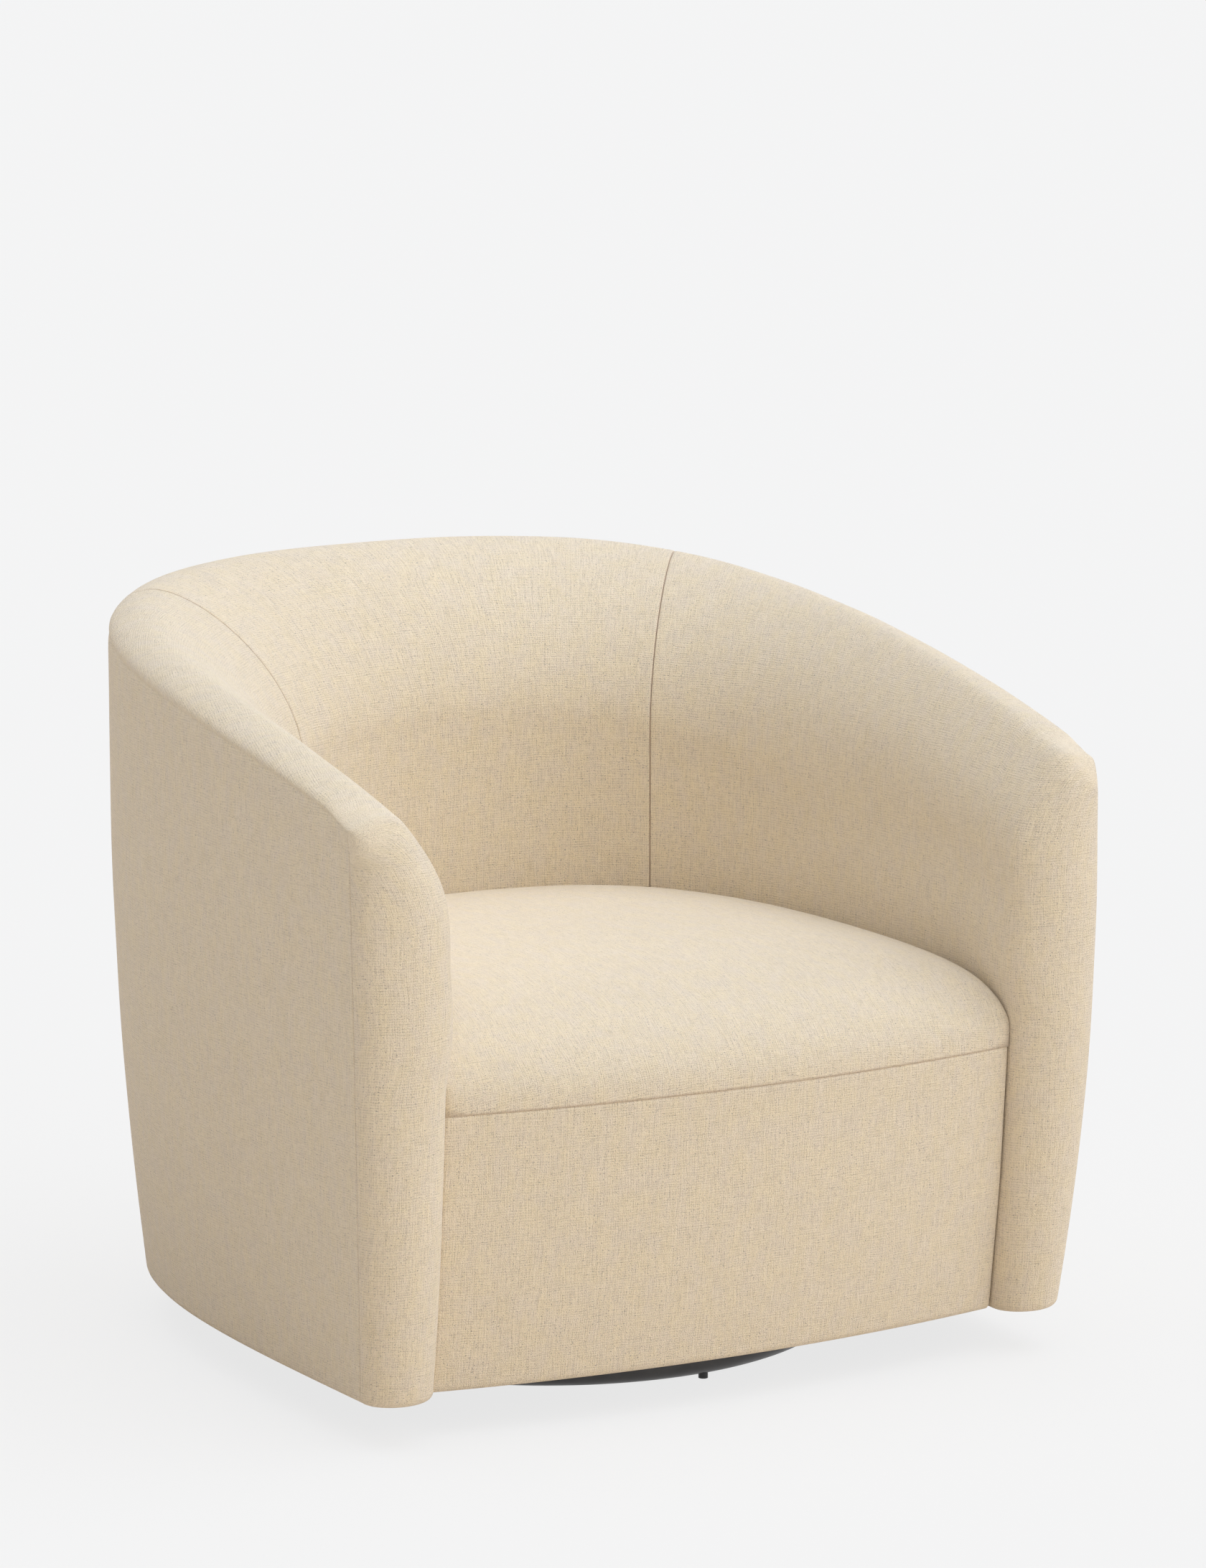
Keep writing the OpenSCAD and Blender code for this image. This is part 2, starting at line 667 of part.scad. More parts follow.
module outer_liner_left() { color(liner_tone) mirror([1, 0, 0]) outer_liner(side_stations, false); }
module outer_liner_right() { color(liner_tone) outer_liner(side_stations, false); }
module outer_liner_back() { color(liner_tone) outer_liner(back_stations, true); }

module inner_liner(stations, mirrored) {
    band(stations, function(t) liner_near(t), function(t) liner_near(t) + liner_t,
        function(t) deck_z, function(t) rim(t) + roll_rise(t) - roll_drop - loose_gap, mirrored);
}

module inner_liner_left() { color(liner_tone) mirror([1, 0, 0]) inner_liner(side_stations, false); }
module inner_liner_right() { color(liner_tone) inner_liner(side_stations, false); }
module inner_liner_back() { color(liner_tone) inner_liner(back_stations, true); }

// Front panel below the seat

panel_inset = 14;
panel_board_t = 5;
panel_foam_top = seat_board_height;
panel_side_gap = 1;
panel_half = inner_x - panel_side_gap;
panel_cols = 11;
panel_row_shares = [0, 0.25, 0.5, 0.75, 0.955, 0.987, 1];
panel_foam_rows = 4;
wedge_count = 4;
panel_zs = [for (g = panel_row_shares)
    seat_seam_height - seam_gap + (floor_gap - seat_seam_height + seam_gap) * g];
function board_y(z) = let (low = lean(frame_z), high = lean(panel_foam_top))
    front_y + panel_inset + low + (high - low) * (z - frame_z) / (panel_foam_top - frame_z);
function bow(x) = front_bow * (1 - pow(x / panel_half, 2));
function panel_y(x, z, inset) = front_y + lean(z) - bow(x) + inset + tuck(z);

module panel_wedges() {
    reach = panel_half - 2 * rib_t;
    color(wood_tone) for (x = spread(-reach, reach, wedge_count - 1)) translate([x - rib_t / 2, 0, 0])
        rotate([90, 0, 90]) linear_extrude(rib_t) polygon([
            [front_board_y, frame_z], [board_y(frame_z) + panel_board_t, frame_z],
            [board_y(panel_foam_top) + panel_board_t, panel_foam_top], [front_board_y, panel_foam_top]]);
}

module panel_board() {
    reach = panel_half - panel_board_t;
    outline = [[board_y(frame_z) + panel_board_t, frame_z], [board_y(frame_z), frame_z],
        [board_y(panel_foam_top), panel_foam_top],
        [board_y(panel_foam_top) + panel_board_t, panel_foam_top]];
    color(liner_tone) translate([-reach, 0, 0]) rotate([90, 0, 90]) linear_extrude(2 * reach)
        polygon(outline);
}

module panel_foam() {
    reach = panel_half - panel_board_t;
    low = floor_gap + tuck_r;
    levels = spread(panel_foam_top, low, panel_foam_rows);
    xs = backwards(spread(-reach, reach, panel_cols - 1));
    front = [for (z = levels) for (x = xs) [x, panel_y(x, z, cover_t + loose_gap), z]];
    rear = [for (z = levels) for (x = xs) [x, board_y(z) - seam_gap, z]];
    color(foam_tone) between(front, rear, len(levels), panel_cols);
}

hem_w = 22;
panel_xs = backwards(spread(-panel_half, panel_half, panel_cols - 1));
module panel_cover() {
    function grid(inset) = concat(
        [for (z = panel_zs) for (x = panel_xs) [x, panel_y(x, z, inset), max(z, floor_gap + inset)]],
        [for (x = panel_xs) [x, panel_y(x, floor_gap, hem_w), floor_gap + inset]]);
    color(fabric_tone) between(grid(0), grid(cover_t), len(panel_zs) + 1, panel_cols);
}

// Seat suspension, deck, foam and cover

long_strap_count = 6;
cross_strap_count = 5;
strap_seat = 28;
module webbing_long() {
    span = inner_x - 2 * strap_w;
    y0 = front_board_y + front_board_d - strap_seat;
    color(strap_tone) for (x = spread(-span, span, long_strap_count - 1)) {
        y1 = seat_reach(abs(x) + strap_w / 2) + strap_seat;
        translate([x - strap_w / 2, y0, seat_board_height + deck_gap / 3]) cube([strap_w, y1 - y0, strap_t]);
    }
}

// How far back the inside edge of the seat boards lies at a given distance from the middle
deck_edge_steps = 30;
deck_edge = [for (t = spread(0, 1, deck_edge_steps)) place(t, deck_far(t), seat_board_z)];
function seat_reach(x) = min([for (p = deck_edge) if (p.x <= x && p.y > 0) p.y]);
function seat_side(y) = min([for (p = deck_edge) if (p.y <= y) p.x]);

module webbing_cross() {
    y_first = front_board_y + front_board_d + strap_w;
    y_last = seat_reach(half_w / 4) - 2 * strap_w;
    color(strap_tone) for (y = spread(y_first, y_last, cross_strap_count - 1)) {
        reach = seat_side(y + strap_w / 2) + strap_seat;
        translate([-reach, y - strap_w / 2, seat_board_height + strap_t + deck_gap])
            cube([2 * reach, strap_w, strap_t]);
    }
}

seat_power = 3;
seat_crown = 6;
seat_rear_rise = 21;
seat_corner_power = 3.3;
seat_ring_shares = [0.45, 0.72, 0.87, 0.955, 0.988, 1];
seat_side_shares = [0, 0.015, 0.04, 0.08, 0.14, 0.22, 0.33, 0.46, 0.62, 0.8, 1];
seat_side_steps = len(seat_side_shares) - 1;
seat_front_steps = 8;
seat_gap = 1;
seat_nose = 4;
seat_loop = 2 * seat_side_steps + seat_front_steps;
seat_middle = [0, front_y + inner_d / 2];

// Point k of the seat's edge at height z: round the inside of the tub, then along the bowed front
function seat_edge(k, z, inset) = k <= 2 * seat_side_steps
    ? let (t = seat_side_shares[seat_side_steps - abs(k - seat_side_steps)],
            side = k <= seat_side_steps ? 1 : -1, p = place(t, thickness(t) + seat_gap + inset, z, side))
        [p.x, t == 0 ? p.y + inset : p.y]
    : let (half = place(0, thickness(0) + seat_gap + inset, z).x,
            x = half * (2 * (k - 2 * seat_side_steps) / seat_front_steps - 1))
        [x, panel_y(x * panel_half / half, z, inset)];
function seat_rim_z(k, inset) = let (
        y = seat_edge(k, seat_seam_height, 0).y, fore = 1 - min(1, max(0, (y - front_y) / inner_d)),
        drop = seat_edge_height - seat_rear_rise - seat_seam_height - seat_nose)
    seat_edge_height - seat_rear_rise * fore - drop * pow(fore, seat_corner_power) - inset;
function seat_top_z(k, r, inset) = let (low = seat_rim_z(k, inset))
    low + (seat_crown_height - seat_crown - inset - low) * sqrt(max(0, 1 - pow(r, seat_power)))
        + seat_crown * (1 - r * r);
function seat_ring(r, inset) = [for (k = [0:seat_loop - 1]) let (z = seat_top_z(k, r, inset),
        e = seat_edge(k, z, inset)) [seat_middle.x + (e.x - seat_middle.x) * r,
        seat_middle.y + (e.y - seat_middle.y) * r, z]];
function seat_skirt(inset, front_low, side_low) = [for (k = [0:seat_loop - 1]) let (
        front = k <= 1 || k >= 2 * seat_side_steps - 1, z = front ? front_low : side_low,
        e = seat_edge(k, z, inset))
    [e.x, e.y, z]];
function loop_faces(rings, base) = [for (r = [0:rings - 2]) for (k = [0:seat_loop - 1]) let (
        n = (k + 1) % seat_loop, a = base + r * seat_loop, b = a + seat_loop)
    each quad(a + k, a + n, b + n, b + k)];
function fan_faces(top, base) = [for (k = [0:seat_loop - 1]) [top, base + (k + 1) % seat_loop, base + k]];
function seat_surface(inset, front_low, side_low) = concat(
    [for (r = seat_ring_shares) each seat_ring(r, inset)], seat_skirt(inset, front_low, side_low));
seat_levels = len(seat_ring_shares) + 1;

module seat_deck() {
    outline = [for (k = [0:seat_loop - 1]) seat_edge(k, deck_z, cover_t + panel_inset)];
    color(black_tone) translate([0, 0, deck_z]) linear_extrude(deck_t) intersection() {
        polygon(outline);
        translate([-half_w, front_board_y]) square([overall_width, overall_depth]);
    }
}

module seat_foam() {
    inset = cover_t + loose_gap;
    ring_points = seat_surface(inset, seat_foam_z, seat_foam_z);
    n = len(ring_points);
    points = concat(ring_points, [[seat_middle.x, seat_middle.y, seat_crown_height - inset],
        [seat_middle.x, seat_middle.y, seat_foam_z]]);
    color(foam_tone) polyhedron(points = points, convexity = 4, faces = concat(
        loop_faces(seat_levels, 0), fan_faces(n, 0), turned(fan_faces(n + 1, n - seat_loop))));
}

module seat_cover() {
    outside = seat_surface(0, seat_seam_height, arm_foot_z + loose_gap);
    inside = seat_surface(cover_t, seat_seam_height, arm_foot_z + loose_gap);
    n = len(outside);
    top = 2 * n;
    last = n - seat_loop;
    points = concat(outside, inside, [[seat_middle.x, seat_middle.y, seat_crown_height],
        [seat_middle.x, seat_middle.y, seat_crown_height - cover_t]]);
    sides = [for (k = [0:seat_loop - 1]) let (m = (k + 1) % seat_loop)
        each quad(last + k, last + m, last + m + n, last + k + n)];
    color(fabric_tone) polyhedron(points = points, convexity = 6, faces = concat(
        loop_faces(seat_levels, 0), fan_faces(top, 0),
        turned(loop_faces(seat_levels, n)), turned(fan_faces(top + 1, n)), sides));
}

// Arms, inside back and outside

foam_end_share = 0.003;
cover_end_share = 0.001;
foam_lip = 10;
front_give = 3;

module arm_foam() {
    skin = cover_t + 2 * seam_gap;
    low = frame_z + loose_gap;
    outside = arm_grid(skin, 0, skin, skin + front_give, low, foam_end_share);
    inside = arm_grid(foam_lip, 1, top_foam_t, top_foam_t, low, foam_end_share);
    between(outside, inside, row_count, arm_cols, cap_steps);
}

module arm_cover() {
    outside = arm_grid(0, 0, 0, 0, floor_gap, cover_end_share);
    inside = arm_grid(cover_t, 0, cover_t, cover_t, floor_gap, cover_end_share);
    between(outside, inside, row_count, arm_cols, cap_steps);
}

module arm_foam_left() { color(foam_tone) mirror([1, 0, 0]) arm_foam(); }
module arm_foam_right() { color(foam_tone) arm_foam(); }
module arm_cover_left() { color(fabric_tone) mirror([1, 0, 0]) arm_cover(); }
module arm_cover_right() { color(fabric_tone) arm_cover(); }

module back_foam() {
    skin = cover_t + seam_gap;
    color(foam_tone) between(back_grid(skin, 0, skin, foam_end_share),
        back_grid(foam_lip, 1, top_foam_t, foam_end_share), row_count, back_cols);
}

module back_cover() {
    color(fabric_tone) between(back_grid(0, 0, 0, cover_end_share),
        back_grid(cover_t, 0, cover_t, cover_end_share), row_count, back_cols);
}

outside_shares = [0, 0.25, 0.5, 0.75, 0.972, 0.993, 1];
outside_track = track(concat([cover_end_share], side_stations,
    [for (k = [1:back_steps]) back_stations[k]]), true);
module outside_cover() {
    function grid(inset) = concat(
        [for (g = outside_shares) for (s = outside_track) let (top = rim(s[0]) - seam_gap - inset,
                z = top + (floor_gap - top) * g)
            place(s[0], inset + taper(s[0], z) + tuck(z), max(z, floor_gap + inset), s[1])],
        [for (s = outside_track) place(s[0], hem_w + taper(s[0], floor_gap), floor_gap + inset, s[1])]);
    color(fabric_tone) between(grid(cover_t), grid(0), len(outside_shares) + 1, len(outside_track));
}

// Black cloth stapled under the frame, with holes for the pivot and the plate bolts
dust_inset = 5;
dust_steps = 16;
module dust_cover() {
    outline = [for (s = track(spread(0, 1, dust_steps), true)) let (
        p = place(s[0], board_near(s[0]) + dust_inset, frame_z, s[1])) [p.x, p.y]];
    color(black_tone) translate([0, 0, upper_plate_top]) linear_extrude(dust_t) difference() {
        intersection() {
            polygon(outline);
            translate([-half_w, front_board_y]) square([overall_width, overall_depth]);
        }
        circle(washer_r + dust_inset, $fn = 48);
        at_corners(upper_bolt_at) circle(upper_bolt_r + running_gap, $fn = 24);
    }
}

base_ring();
base_cross();
base_glides();
lower_swivel_plate();
lower_plate_screws();
lower_plate_nuts();
pivot_rivet();
pivot_washer();
ball_cage();
bearing_balls();
upper_swivel_plate();
upper_plate_bolts();
tee_nuts();
dust_cover();
mounting_rail_left();
mounting_rail_right();
front_stretcher();
front_rail();
bottom_board_left();
bottom_board_right();
bottom_board_back();
seat_board_left();
seat_board_right();
seat_board_back();
corner_blocks();
lower_ribs();
upper_ribs();
top_rail_left();
top_rail_right();
top_rail_back();
outer_liner_left();
outer_liner_right();
outer_liner_back();
inner_liner_left();
inner_liner_right();
inner_liner_back();
panel_wedges();
panel_board();
panel_foam();
panel_cover();
webbing_long();
webbing_cross();
seat_deck();
seat_foam();
seat_cover();
arm_foam_left();
arm_foam_right();
back_foam();
arm_cover_left();
arm_cover_right();
back_cover();
outside_cover();
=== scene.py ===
import bpy
import bmesh
import math
import numpy as np
from mathutils import Matrix, Vector


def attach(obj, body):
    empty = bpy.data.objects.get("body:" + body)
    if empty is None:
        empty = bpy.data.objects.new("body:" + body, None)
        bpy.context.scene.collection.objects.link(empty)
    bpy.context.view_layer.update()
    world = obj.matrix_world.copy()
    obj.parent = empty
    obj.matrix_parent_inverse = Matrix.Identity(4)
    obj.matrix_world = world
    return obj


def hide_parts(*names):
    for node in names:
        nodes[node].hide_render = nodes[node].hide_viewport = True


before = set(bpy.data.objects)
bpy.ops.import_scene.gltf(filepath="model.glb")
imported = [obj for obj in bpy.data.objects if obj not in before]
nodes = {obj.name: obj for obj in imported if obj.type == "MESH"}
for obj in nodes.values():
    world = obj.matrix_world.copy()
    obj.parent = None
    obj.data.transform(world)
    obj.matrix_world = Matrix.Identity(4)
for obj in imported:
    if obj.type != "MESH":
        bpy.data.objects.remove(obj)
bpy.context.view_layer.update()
mm = 0.001


# The curved tub is worked out in millimetres, with the floor at 0 and the front towards -Y. Along its wall t
# runs from an arm's front (0) to the middle of the back (1), and d goes inwards through the wall.
tub = {
    "halfWide": 400, "backY": 385, "frontY": -355, "floorGap": 42,
    "outerX": [0.975, 1.0627, 0.966, 0], "outerY": [0, 0.777, 1, 1],     # plan of the outside, as shares
    "innerX": [1, 1.012, 0.654, 0], "innerY": [0, 0.843, 1, 1],          # plan of the inside, as shares
    "armThick": 90, "backThick": 188, "armRim": 571, "backRim": 695, "swell": 0.16, "wave": 0.33,
    "armRise": 11, "backRise": 25, "armRoll": 38, "backRoll": 42, "rollDrop": 156, "rollPower": 1.6,
    "rollSwell": 13, "armBulge": 30, "tuck": 7, "seamAt": 0.6, "seamGap": 0.0006, "foot": 244.9,
    "armFoam": 38, "backFoam": 75, "topFoam": 24, "lip": 10,
    "taperFrom": 522, "taperRadius": 5530, "backTaper": 13, "backTaperAt": 0.65,
    "leanFrom": 427, "leanRadius": 2440,
    "seatSwell": 7, "swellBegins": (320, 380), "swellEnds": (400, 490)}
tubDepth = tub["backY"] - tub["frontY"]
outerHalf = tub["halfWide"] * tub["outerX"][0]
innerHalf = outerHalf - tub["armThick"]
innerDepth = tubDepth - tub["backThick"]


def smoothStep(x):
    x = np.clip(x, 0, 1)
    return x * x * (3 - 2 * x)


def ramp(x, start, end):                                   # 0 at start, 1 at end
    return smoothStep((x - start) / (end - start))


def planCurve(xs, ys, width, depth, t):
    t = np.asarray(t, float)[..., None]
    p = [np.array([width * x, tub["frontY"] + depth * y]) for x, y in zip(xs, ys)]
    return (1 - t) ** 3 * p[0] + 3 * (1 - t) ** 2 * t * p[1] + 3 * (1 - t) * t * t * p[2] + t ** 3 * p[3]


def outerPlan(t):
    return planCurve(tub["outerX"], tub["outerY"], tub["halfWide"], tubDepth, t)


def innerPlan(t):
    return planCurve(tub["innerX"], tub["innerY"], innerHalf, innerDepth, t)


def wallWide(t):
    return np.linalg.norm(innerPlan(t) - outerPlan(t), axis=-1)


def backShare(t):
    return (outerPlan(t)[..., 1] - tub["frontY"]) / tubDepth


def taper(t, z):                                           # the wall draws in towards the floor
    below = np.maximum(0, tub["taperFrom"] - z)
    return below ** 2 / (2 * tub["taperRadius"]) \
        + tub["backTaper"] * np.minimum(1, backShare(t) / tub["backTaperAt"]) * (below / tub["taperFrom"]) ** 2


def lean(z):                                               # the fronts bow forwards at mid height
    return (z - tub["leanFrom"]) ** 2 / (2 * tub["leanRadius"])


def tuckIn(z):                                             # the lower edge turns under
    s = np.maximum(0, tub["tuck"] - (z - tub["floorGap"]))
    return tub["tuck"] - np.sqrt(np.maximum(0, tub["tuck"] ** 2 - s * s))


def rim(t):                                                # height of the crease under the roll
    w = backShare(t)
    return tub["armRim"] + (tub["backRim"] - tub["armRim"]) * (
        w + w * (1 - w) * (tub["swell"] + tub["wave"] * (1 - 2 * w)))


def rollRise(t):
    return tub["armRise"] + (tub["backRise"] - tub["armRise"]) * backShare(t)


def rollWide(t):
    return tub["armRoll"] + (tub["backRoll"] - tub["armRoll"]) * backShare(t)


def foamDeep(t):
    share = (wallWide(t) - tub["armThick"]) / (tub["backThick"] - tub["armThick"])
    return tub["armFoam"] + (tub["backFoam"] - tub["armFoam"]) * share


def place(t, d, z):
    t, d, z = np.broadcast_arrays(np.asarray(t, float), np.asarray(d, float), np.asarray(z, float))
    a = outerPlan(t)
    v = (innerPlan(t) - a) / wallWide(t)[..., None]
    bow = (1 - backShare(t)) ** 2 * lean(z)
    return np.stack([a[..., 0] + v[..., 0] * d, a[..., 1] + v[..., 1] * d + bow, z], -1)


def onSide(points, side):                                  # side is 1 on the right of the chair, -1 on the left
    return points * np.stack([side, 0 * side + 1, 0 * side + 1], -1)


def bothHalves(half):                                      # stations of the right half, then of the left
    return np.concatenate([half, half[-2::-1]]), np.concatenate([np.ones(len(half)), -np.ones(len(half) - 1)])


# Rows of a pad run up from the crease (rise), over the roll (over) and down the inside face (down).
nearSeam = [0, 0.5, 1, 1.6, 2.4, 3.6, 5.4, 8]              # distances from a seam, where the cloth turns in
rollRows = {"step": 4.5, "faceStep": 8, "rollLength": 46, "faceLength": 190, "wallLength": 384}


def stations(low, high, length, step, fineLow=True, fineHigh=True):
    at = list(nearSeam) if fineLow else [0]
    end = [length - n for n in reversed(nearSeam)] if fineHigh else [length]
    count = max(2, int(round((end[0] - at[-1]) / step)))
    at += [at[-1] + (end[0] - at[-1]) * k / count for k in range(1, count)] + end
    return low + (high - low) * np.array(at) / length


rowList = [("rise", a) for a in stations(0, 90, rollRows["rollLength"], rollRows["step"], True, False)]
crestRow = len(rowList) - 1
rowList += [("over", a) for a in stations(0, 90, rollRows["faceLength"], rollRows["step"], False, False)[1:]]
faceRow = len(rowList)
rowList += [("down", g) for g in stations(0, 1, rollRows["wallLength"], rollRows["faceStep"], False, True)[1:]]


def seatSwell(t, z):                                       # the arm fills out a little where the seat meets it
    return tub["seatSwell"] * (1 - backShare(t)) * ramp(z, *tub["swellBegins"]) * (1 - ramp(z, *tub["swellEnds"]))


crest = {"ease": 8, "span": 26, "lift": 24, "creaseHold": 14}


def easeCrest(ds, zs, t):
    # An arm's roll turns over its top in a soft curve, at the height that it had.
    step = np.hypot(np.diff(ds, axis=0), np.diff(zs, axis=0))
    run = np.concatenate([np.zeros((1, ds.shape[1])), np.cumsum(step, 0)])
    width = np.zeros_like(run)
    width[:-1] += step / 2
    width[1:] += step / 2
    away = run - run[crestRow]
    free = smoothStep(run / crest["creaseHold"])
    reach = np.maximum(crest["ease"] * (1 - backShare(t)) * np.exp(-(away / crest["span"]) ** 2) * free, 1e-3)
    share = np.exp(-0.5 * ((run[:, None] - run[None]) / reach[:, None]) ** 2) * width[None]
    share = share / share.sum(1, keepdims=True)
    soft = np.einsum("ijc,jc->ic", share, zs)
    soft += (zs[crestRow] - soft[crestRow]) * np.exp(-(away / crest["lift"]) ** 2) * free
    return np.einsum("ijc,jc->ic", share, ds), soft


def section(t, foot, insets):                              # insets: from the outside, from the inside, from the top
    wide, crease = wallWide(t), rim(t) - insets[2]
    topZ, faceZ, faceD = crease + rollRise(t), rim(t) + rollRise(t) - tub["rollDrop"], wide - insets[1]
    topD = insets[0] + rollWide(t) * (faceD - insets[0]) / wide
    skin = 1.0 if insets[0] < tub["lip"] else 0.0          # only the outside of a pad swells
    ds, zs = [], []
    for kind, value in rowList:
        if kind == "rise":
            a = math.radians(value)
            ds.append(insets[0] + (topD - insets[0]) * (1 - math.cos(a)))
            zs.append(crease + rollRise(t) * math.sin(a))
        elif kind == "over":
            a = math.radians(value)
            rise = max(0, math.cos(a)) ** (2 / tub["rollPower"])
            swell = skin * tub["rollSwell"] * (1 - backShare(t)) * (4 * rise * (1 - rise)) ** 2
            zs.append(faceZ + (topZ - faceZ) * rise)
            ds.append(topD + (faceD - topD) * math.sin(a) ** (2 / tub["rollPower"]) + swell
                      + skin * seatSwell(t, zs[-1]))
        else:
            zs.append(faceZ + (foot - faceZ) * value)
            ds.append(faceD + skin * seatSwell(t, zs[-1]))
    return easeCrest(np.array(ds), np.array(zs), t)


def softMin(a, b, k):
    k = np.maximum(k, 1e-3)
    m = np.minimum(a, b)
    return m - k * np.log(np.exp((m - a) / k) + np.exp((m - b) / k)) + k * math.log(2) * np.exp(-abs(a - b) / k)


# The padding rounds the top outer corner of an arm (pull), and the head of its front.
corner = {"pull": 4.5, "behind": 45, "ahead": 8, "heights": (540, 585), "outerX": 392, "fade": 60,
          "calmFrom": 8, "calmTo": 42, "headDepth": 40, "headSlack": 0.45}


def frontFullness(x, z, outer, rimX, rimZ):
    # How far the padding of an arm's front stands out: 0 on its seam and outline, 1 in the middle.
    seamX = outerHalf - outer - taper(0.0, z) - tuckIn(z)
    crown, widest = int(np.argmax(rimZ)), int(np.argmin(rimX))
    insideX = np.interp(z, rimZ[crown:][::-1], rimX[crown:][::-1])
    below = np.maximum(np.interp(-x, -rimX[:widest + 1], rimZ[:widest + 1]) - z, 1e-6)
    below = below * (corner["headSlack"] + (below / corner["headDepth"]) ** 2)
    fromSeam, fromInside = np.maximum(seamX - x, 1e-6), np.maximum(x - insideX, 1e-6)
    room = 1 / (1 / fromSeam + 1 / fromInside + 1 / below)
    return np.sqrt(np.clip(4 * room / np.maximum(seamX - insideX, 1), 0, 1))


def roundCorner(points):
    x, y, z = abs(points[..., 0]), points[..., 1], points[..., 2]
    front = tub["frontY"] + lean(z)
    pull = corner["pull"] * ramp(y, front + corner["behind"], front - corner["ahead"]) \
        * ramp(z, *corner["heights"]) * (1 - ramp(x, corner["outerX"], corner["outerX"] - corner["fade"]))
    return points + np.stack([0 * pull, pull, -pull], -1)


def awayFromCorner(points):                                # 0 at the corner, where no seam draws in, to 1
    at = np.array([outerHalf, tub["frontY"] + lean(tub["armRim"]), tub["armRim"]])
    away = np.linalg.norm(abs(points) * [1, 0, 1] + points * [0, 1, 0] - at, axis=-1)
    return ramp(away, corner["calmFrom"], corner["calmTo"])


def runLength(points, axis):
    step = np.linalg.norm(np.diff(points, axis=axis), axis=-1)
    pad = np.zeros_like(np.take(step, [0], axis))
    return np.concatenate([pad, np.cumsum(step, axis)], axis)


def surfaceNormals(points):
    n = np.cross(np.gradient(points, axis=1), np.gradient(points, axis=0))
    size = np.linalg.norm(n, axis=-1, keepdims=True)
    return n / np.maximum(size, 1e-6)


# Slow swells of the cloth, and the small gathers that run out from a seam, in mm along (u) and up (v) the cloth.
slack = {"wide": 31, "high": 38, "drift": 0.7, "driftHigh": 47, "shift": 1.3, "share": 0.5,
         "smallWide": 17, "smallHigh": 23, "smallShift": 0.4, "smallShare": 0.25}
gather = {"pitch": 2.7, "drift": 1.6, "driftLong": 13, "beat": 37, "reach": 9, "start": 2.5,
          "seamShadeWide": 0.7, "swellsFrom": 25, "hemHigh": 18}


def ripple(u, v, high):
    slow = np.sin(u / slack["wide"] + slack["drift"] * np.sin(v / slack["driftHigh"]))
    slow = slow * np.sin(v / slack["high"] + slack["shift"])
    small = np.sin(u / slack["smallWide"] + v / slack["smallHigh"] + slack["smallShift"])
    return high * (slow * slack["share"] + small * slack["smallShare"])


def pucker(along, away, high):
    wave = np.sin(along / gather["pitch"] + gather["drift"] * np.sin(along / gather["driftLong"]))
    wave = wave * (0.6 + 0.4 * np.sin(along / gather["beat"] + 1))
    return high * wave * np.exp(-away / gather["reach"]) * smoothStep(away / gather["start"])


def rollOutward(t, side, forwards):                        # which way is out, on each row of a roll
    over = outerPlan(t) - innerPlan(t)
    over = over / np.linalg.norm(over, axis=-1, keepdims=True)
    first = np.stack([side * over[:, 0], over[:, 1], 0 * t + 1], -1)
    rows = [k for k, (kind, value) in enumerate(rowList) if kind == "rise" or (kind == "over" and value < 45)]
    return rows, np.array([first if rowList[k][0] == "rise" else first * 0 + [0, forwards, 1] for k in rows])


def turnIn(points, outward, seams, softness, u, v):
    # Cloth rolls into its seams: each has a distance from it, a way along it, and a dictionary. Along each seam and
    # crease it also lays a thin line of painted crevice shade, darker and warmer, into the colour.
    n = surfaceNormals(points)
    n = n * np.sign(np.sum(n * outward, -1, keepdims=True) + 1e-9)
    dip, lift, seamShade = np.zeros((3, *points.shape[:2]))
    ease = np.ones(points.shape[:2])
    low = smoothStep((points[..., 2] - tub["floorGap"]) / gather["hemHigh"])
    for away, along, seam in seams:
        dip = np.maximum(dip, seam["depth"] * np.maximum(0, 1 - away / seam["radius"]) ** 2)
        ease = np.minimum(ease, smoothStep(away / gather["swellsFrom"]))
        lift += pucker(along, away, seam["gathers"])
        # painted shade: a thin dark warm line along the seam, standing in for the crevice's shadow and its warm bounce
        seamShade = np.maximum(seamShade, seam["shadeLine"] * np.exp(-(away / gather["seamShadeWide"]) ** 2))
    calm = awayFromCorner(points)
    moved = points + n * ((ripple(u, v, softness) * ease - dip + lift) * low * calm)[..., None]
    return moved, np.stack([seamShade * calm, 1 - calm], -1)


# Grids of points become closed meshes, in metres.

def gridFaces(rows, cols, wrap):
    return [(r * cols + c, r * cols + (c + 1) % cols, (r + 1) * cols + (c + 1) % cols, (r + 1) * cols + c)
            for r in range(rows - 1) for c in range(cols if wrap else cols - 1)]


def wallFaces(rows, cols):                                 # the inner side of a wall, and its edge all round
    count = rows * cols
    faces = [tuple(count + k for k in reversed(face)) for face in gridFaces(rows, cols, False)]
    border = list(range(cols)) + [r * cols + cols - 1 for r in range(1, rows)]
    border += [(rows - 1) * cols + c for c in range(cols - 2, -1, -1)] + [r * cols for r in range(rows - 2, 0, -1)]
    return faces + [(b, a, a + count, b + count) for a, b in zip(border, border[1:] + border[:1])]


def capFaces(rows, cols):                                  # to the middle points over the first and under the last row
    count = rows * cols
    pairs = [(c, (c + 1) % cols) for c in range(cols)]
    return [face for c, d in pairs
            for face in ((count, d, c), (count + 1, (rows - 1) * cols + c, (rows - 1) * cols + d))]


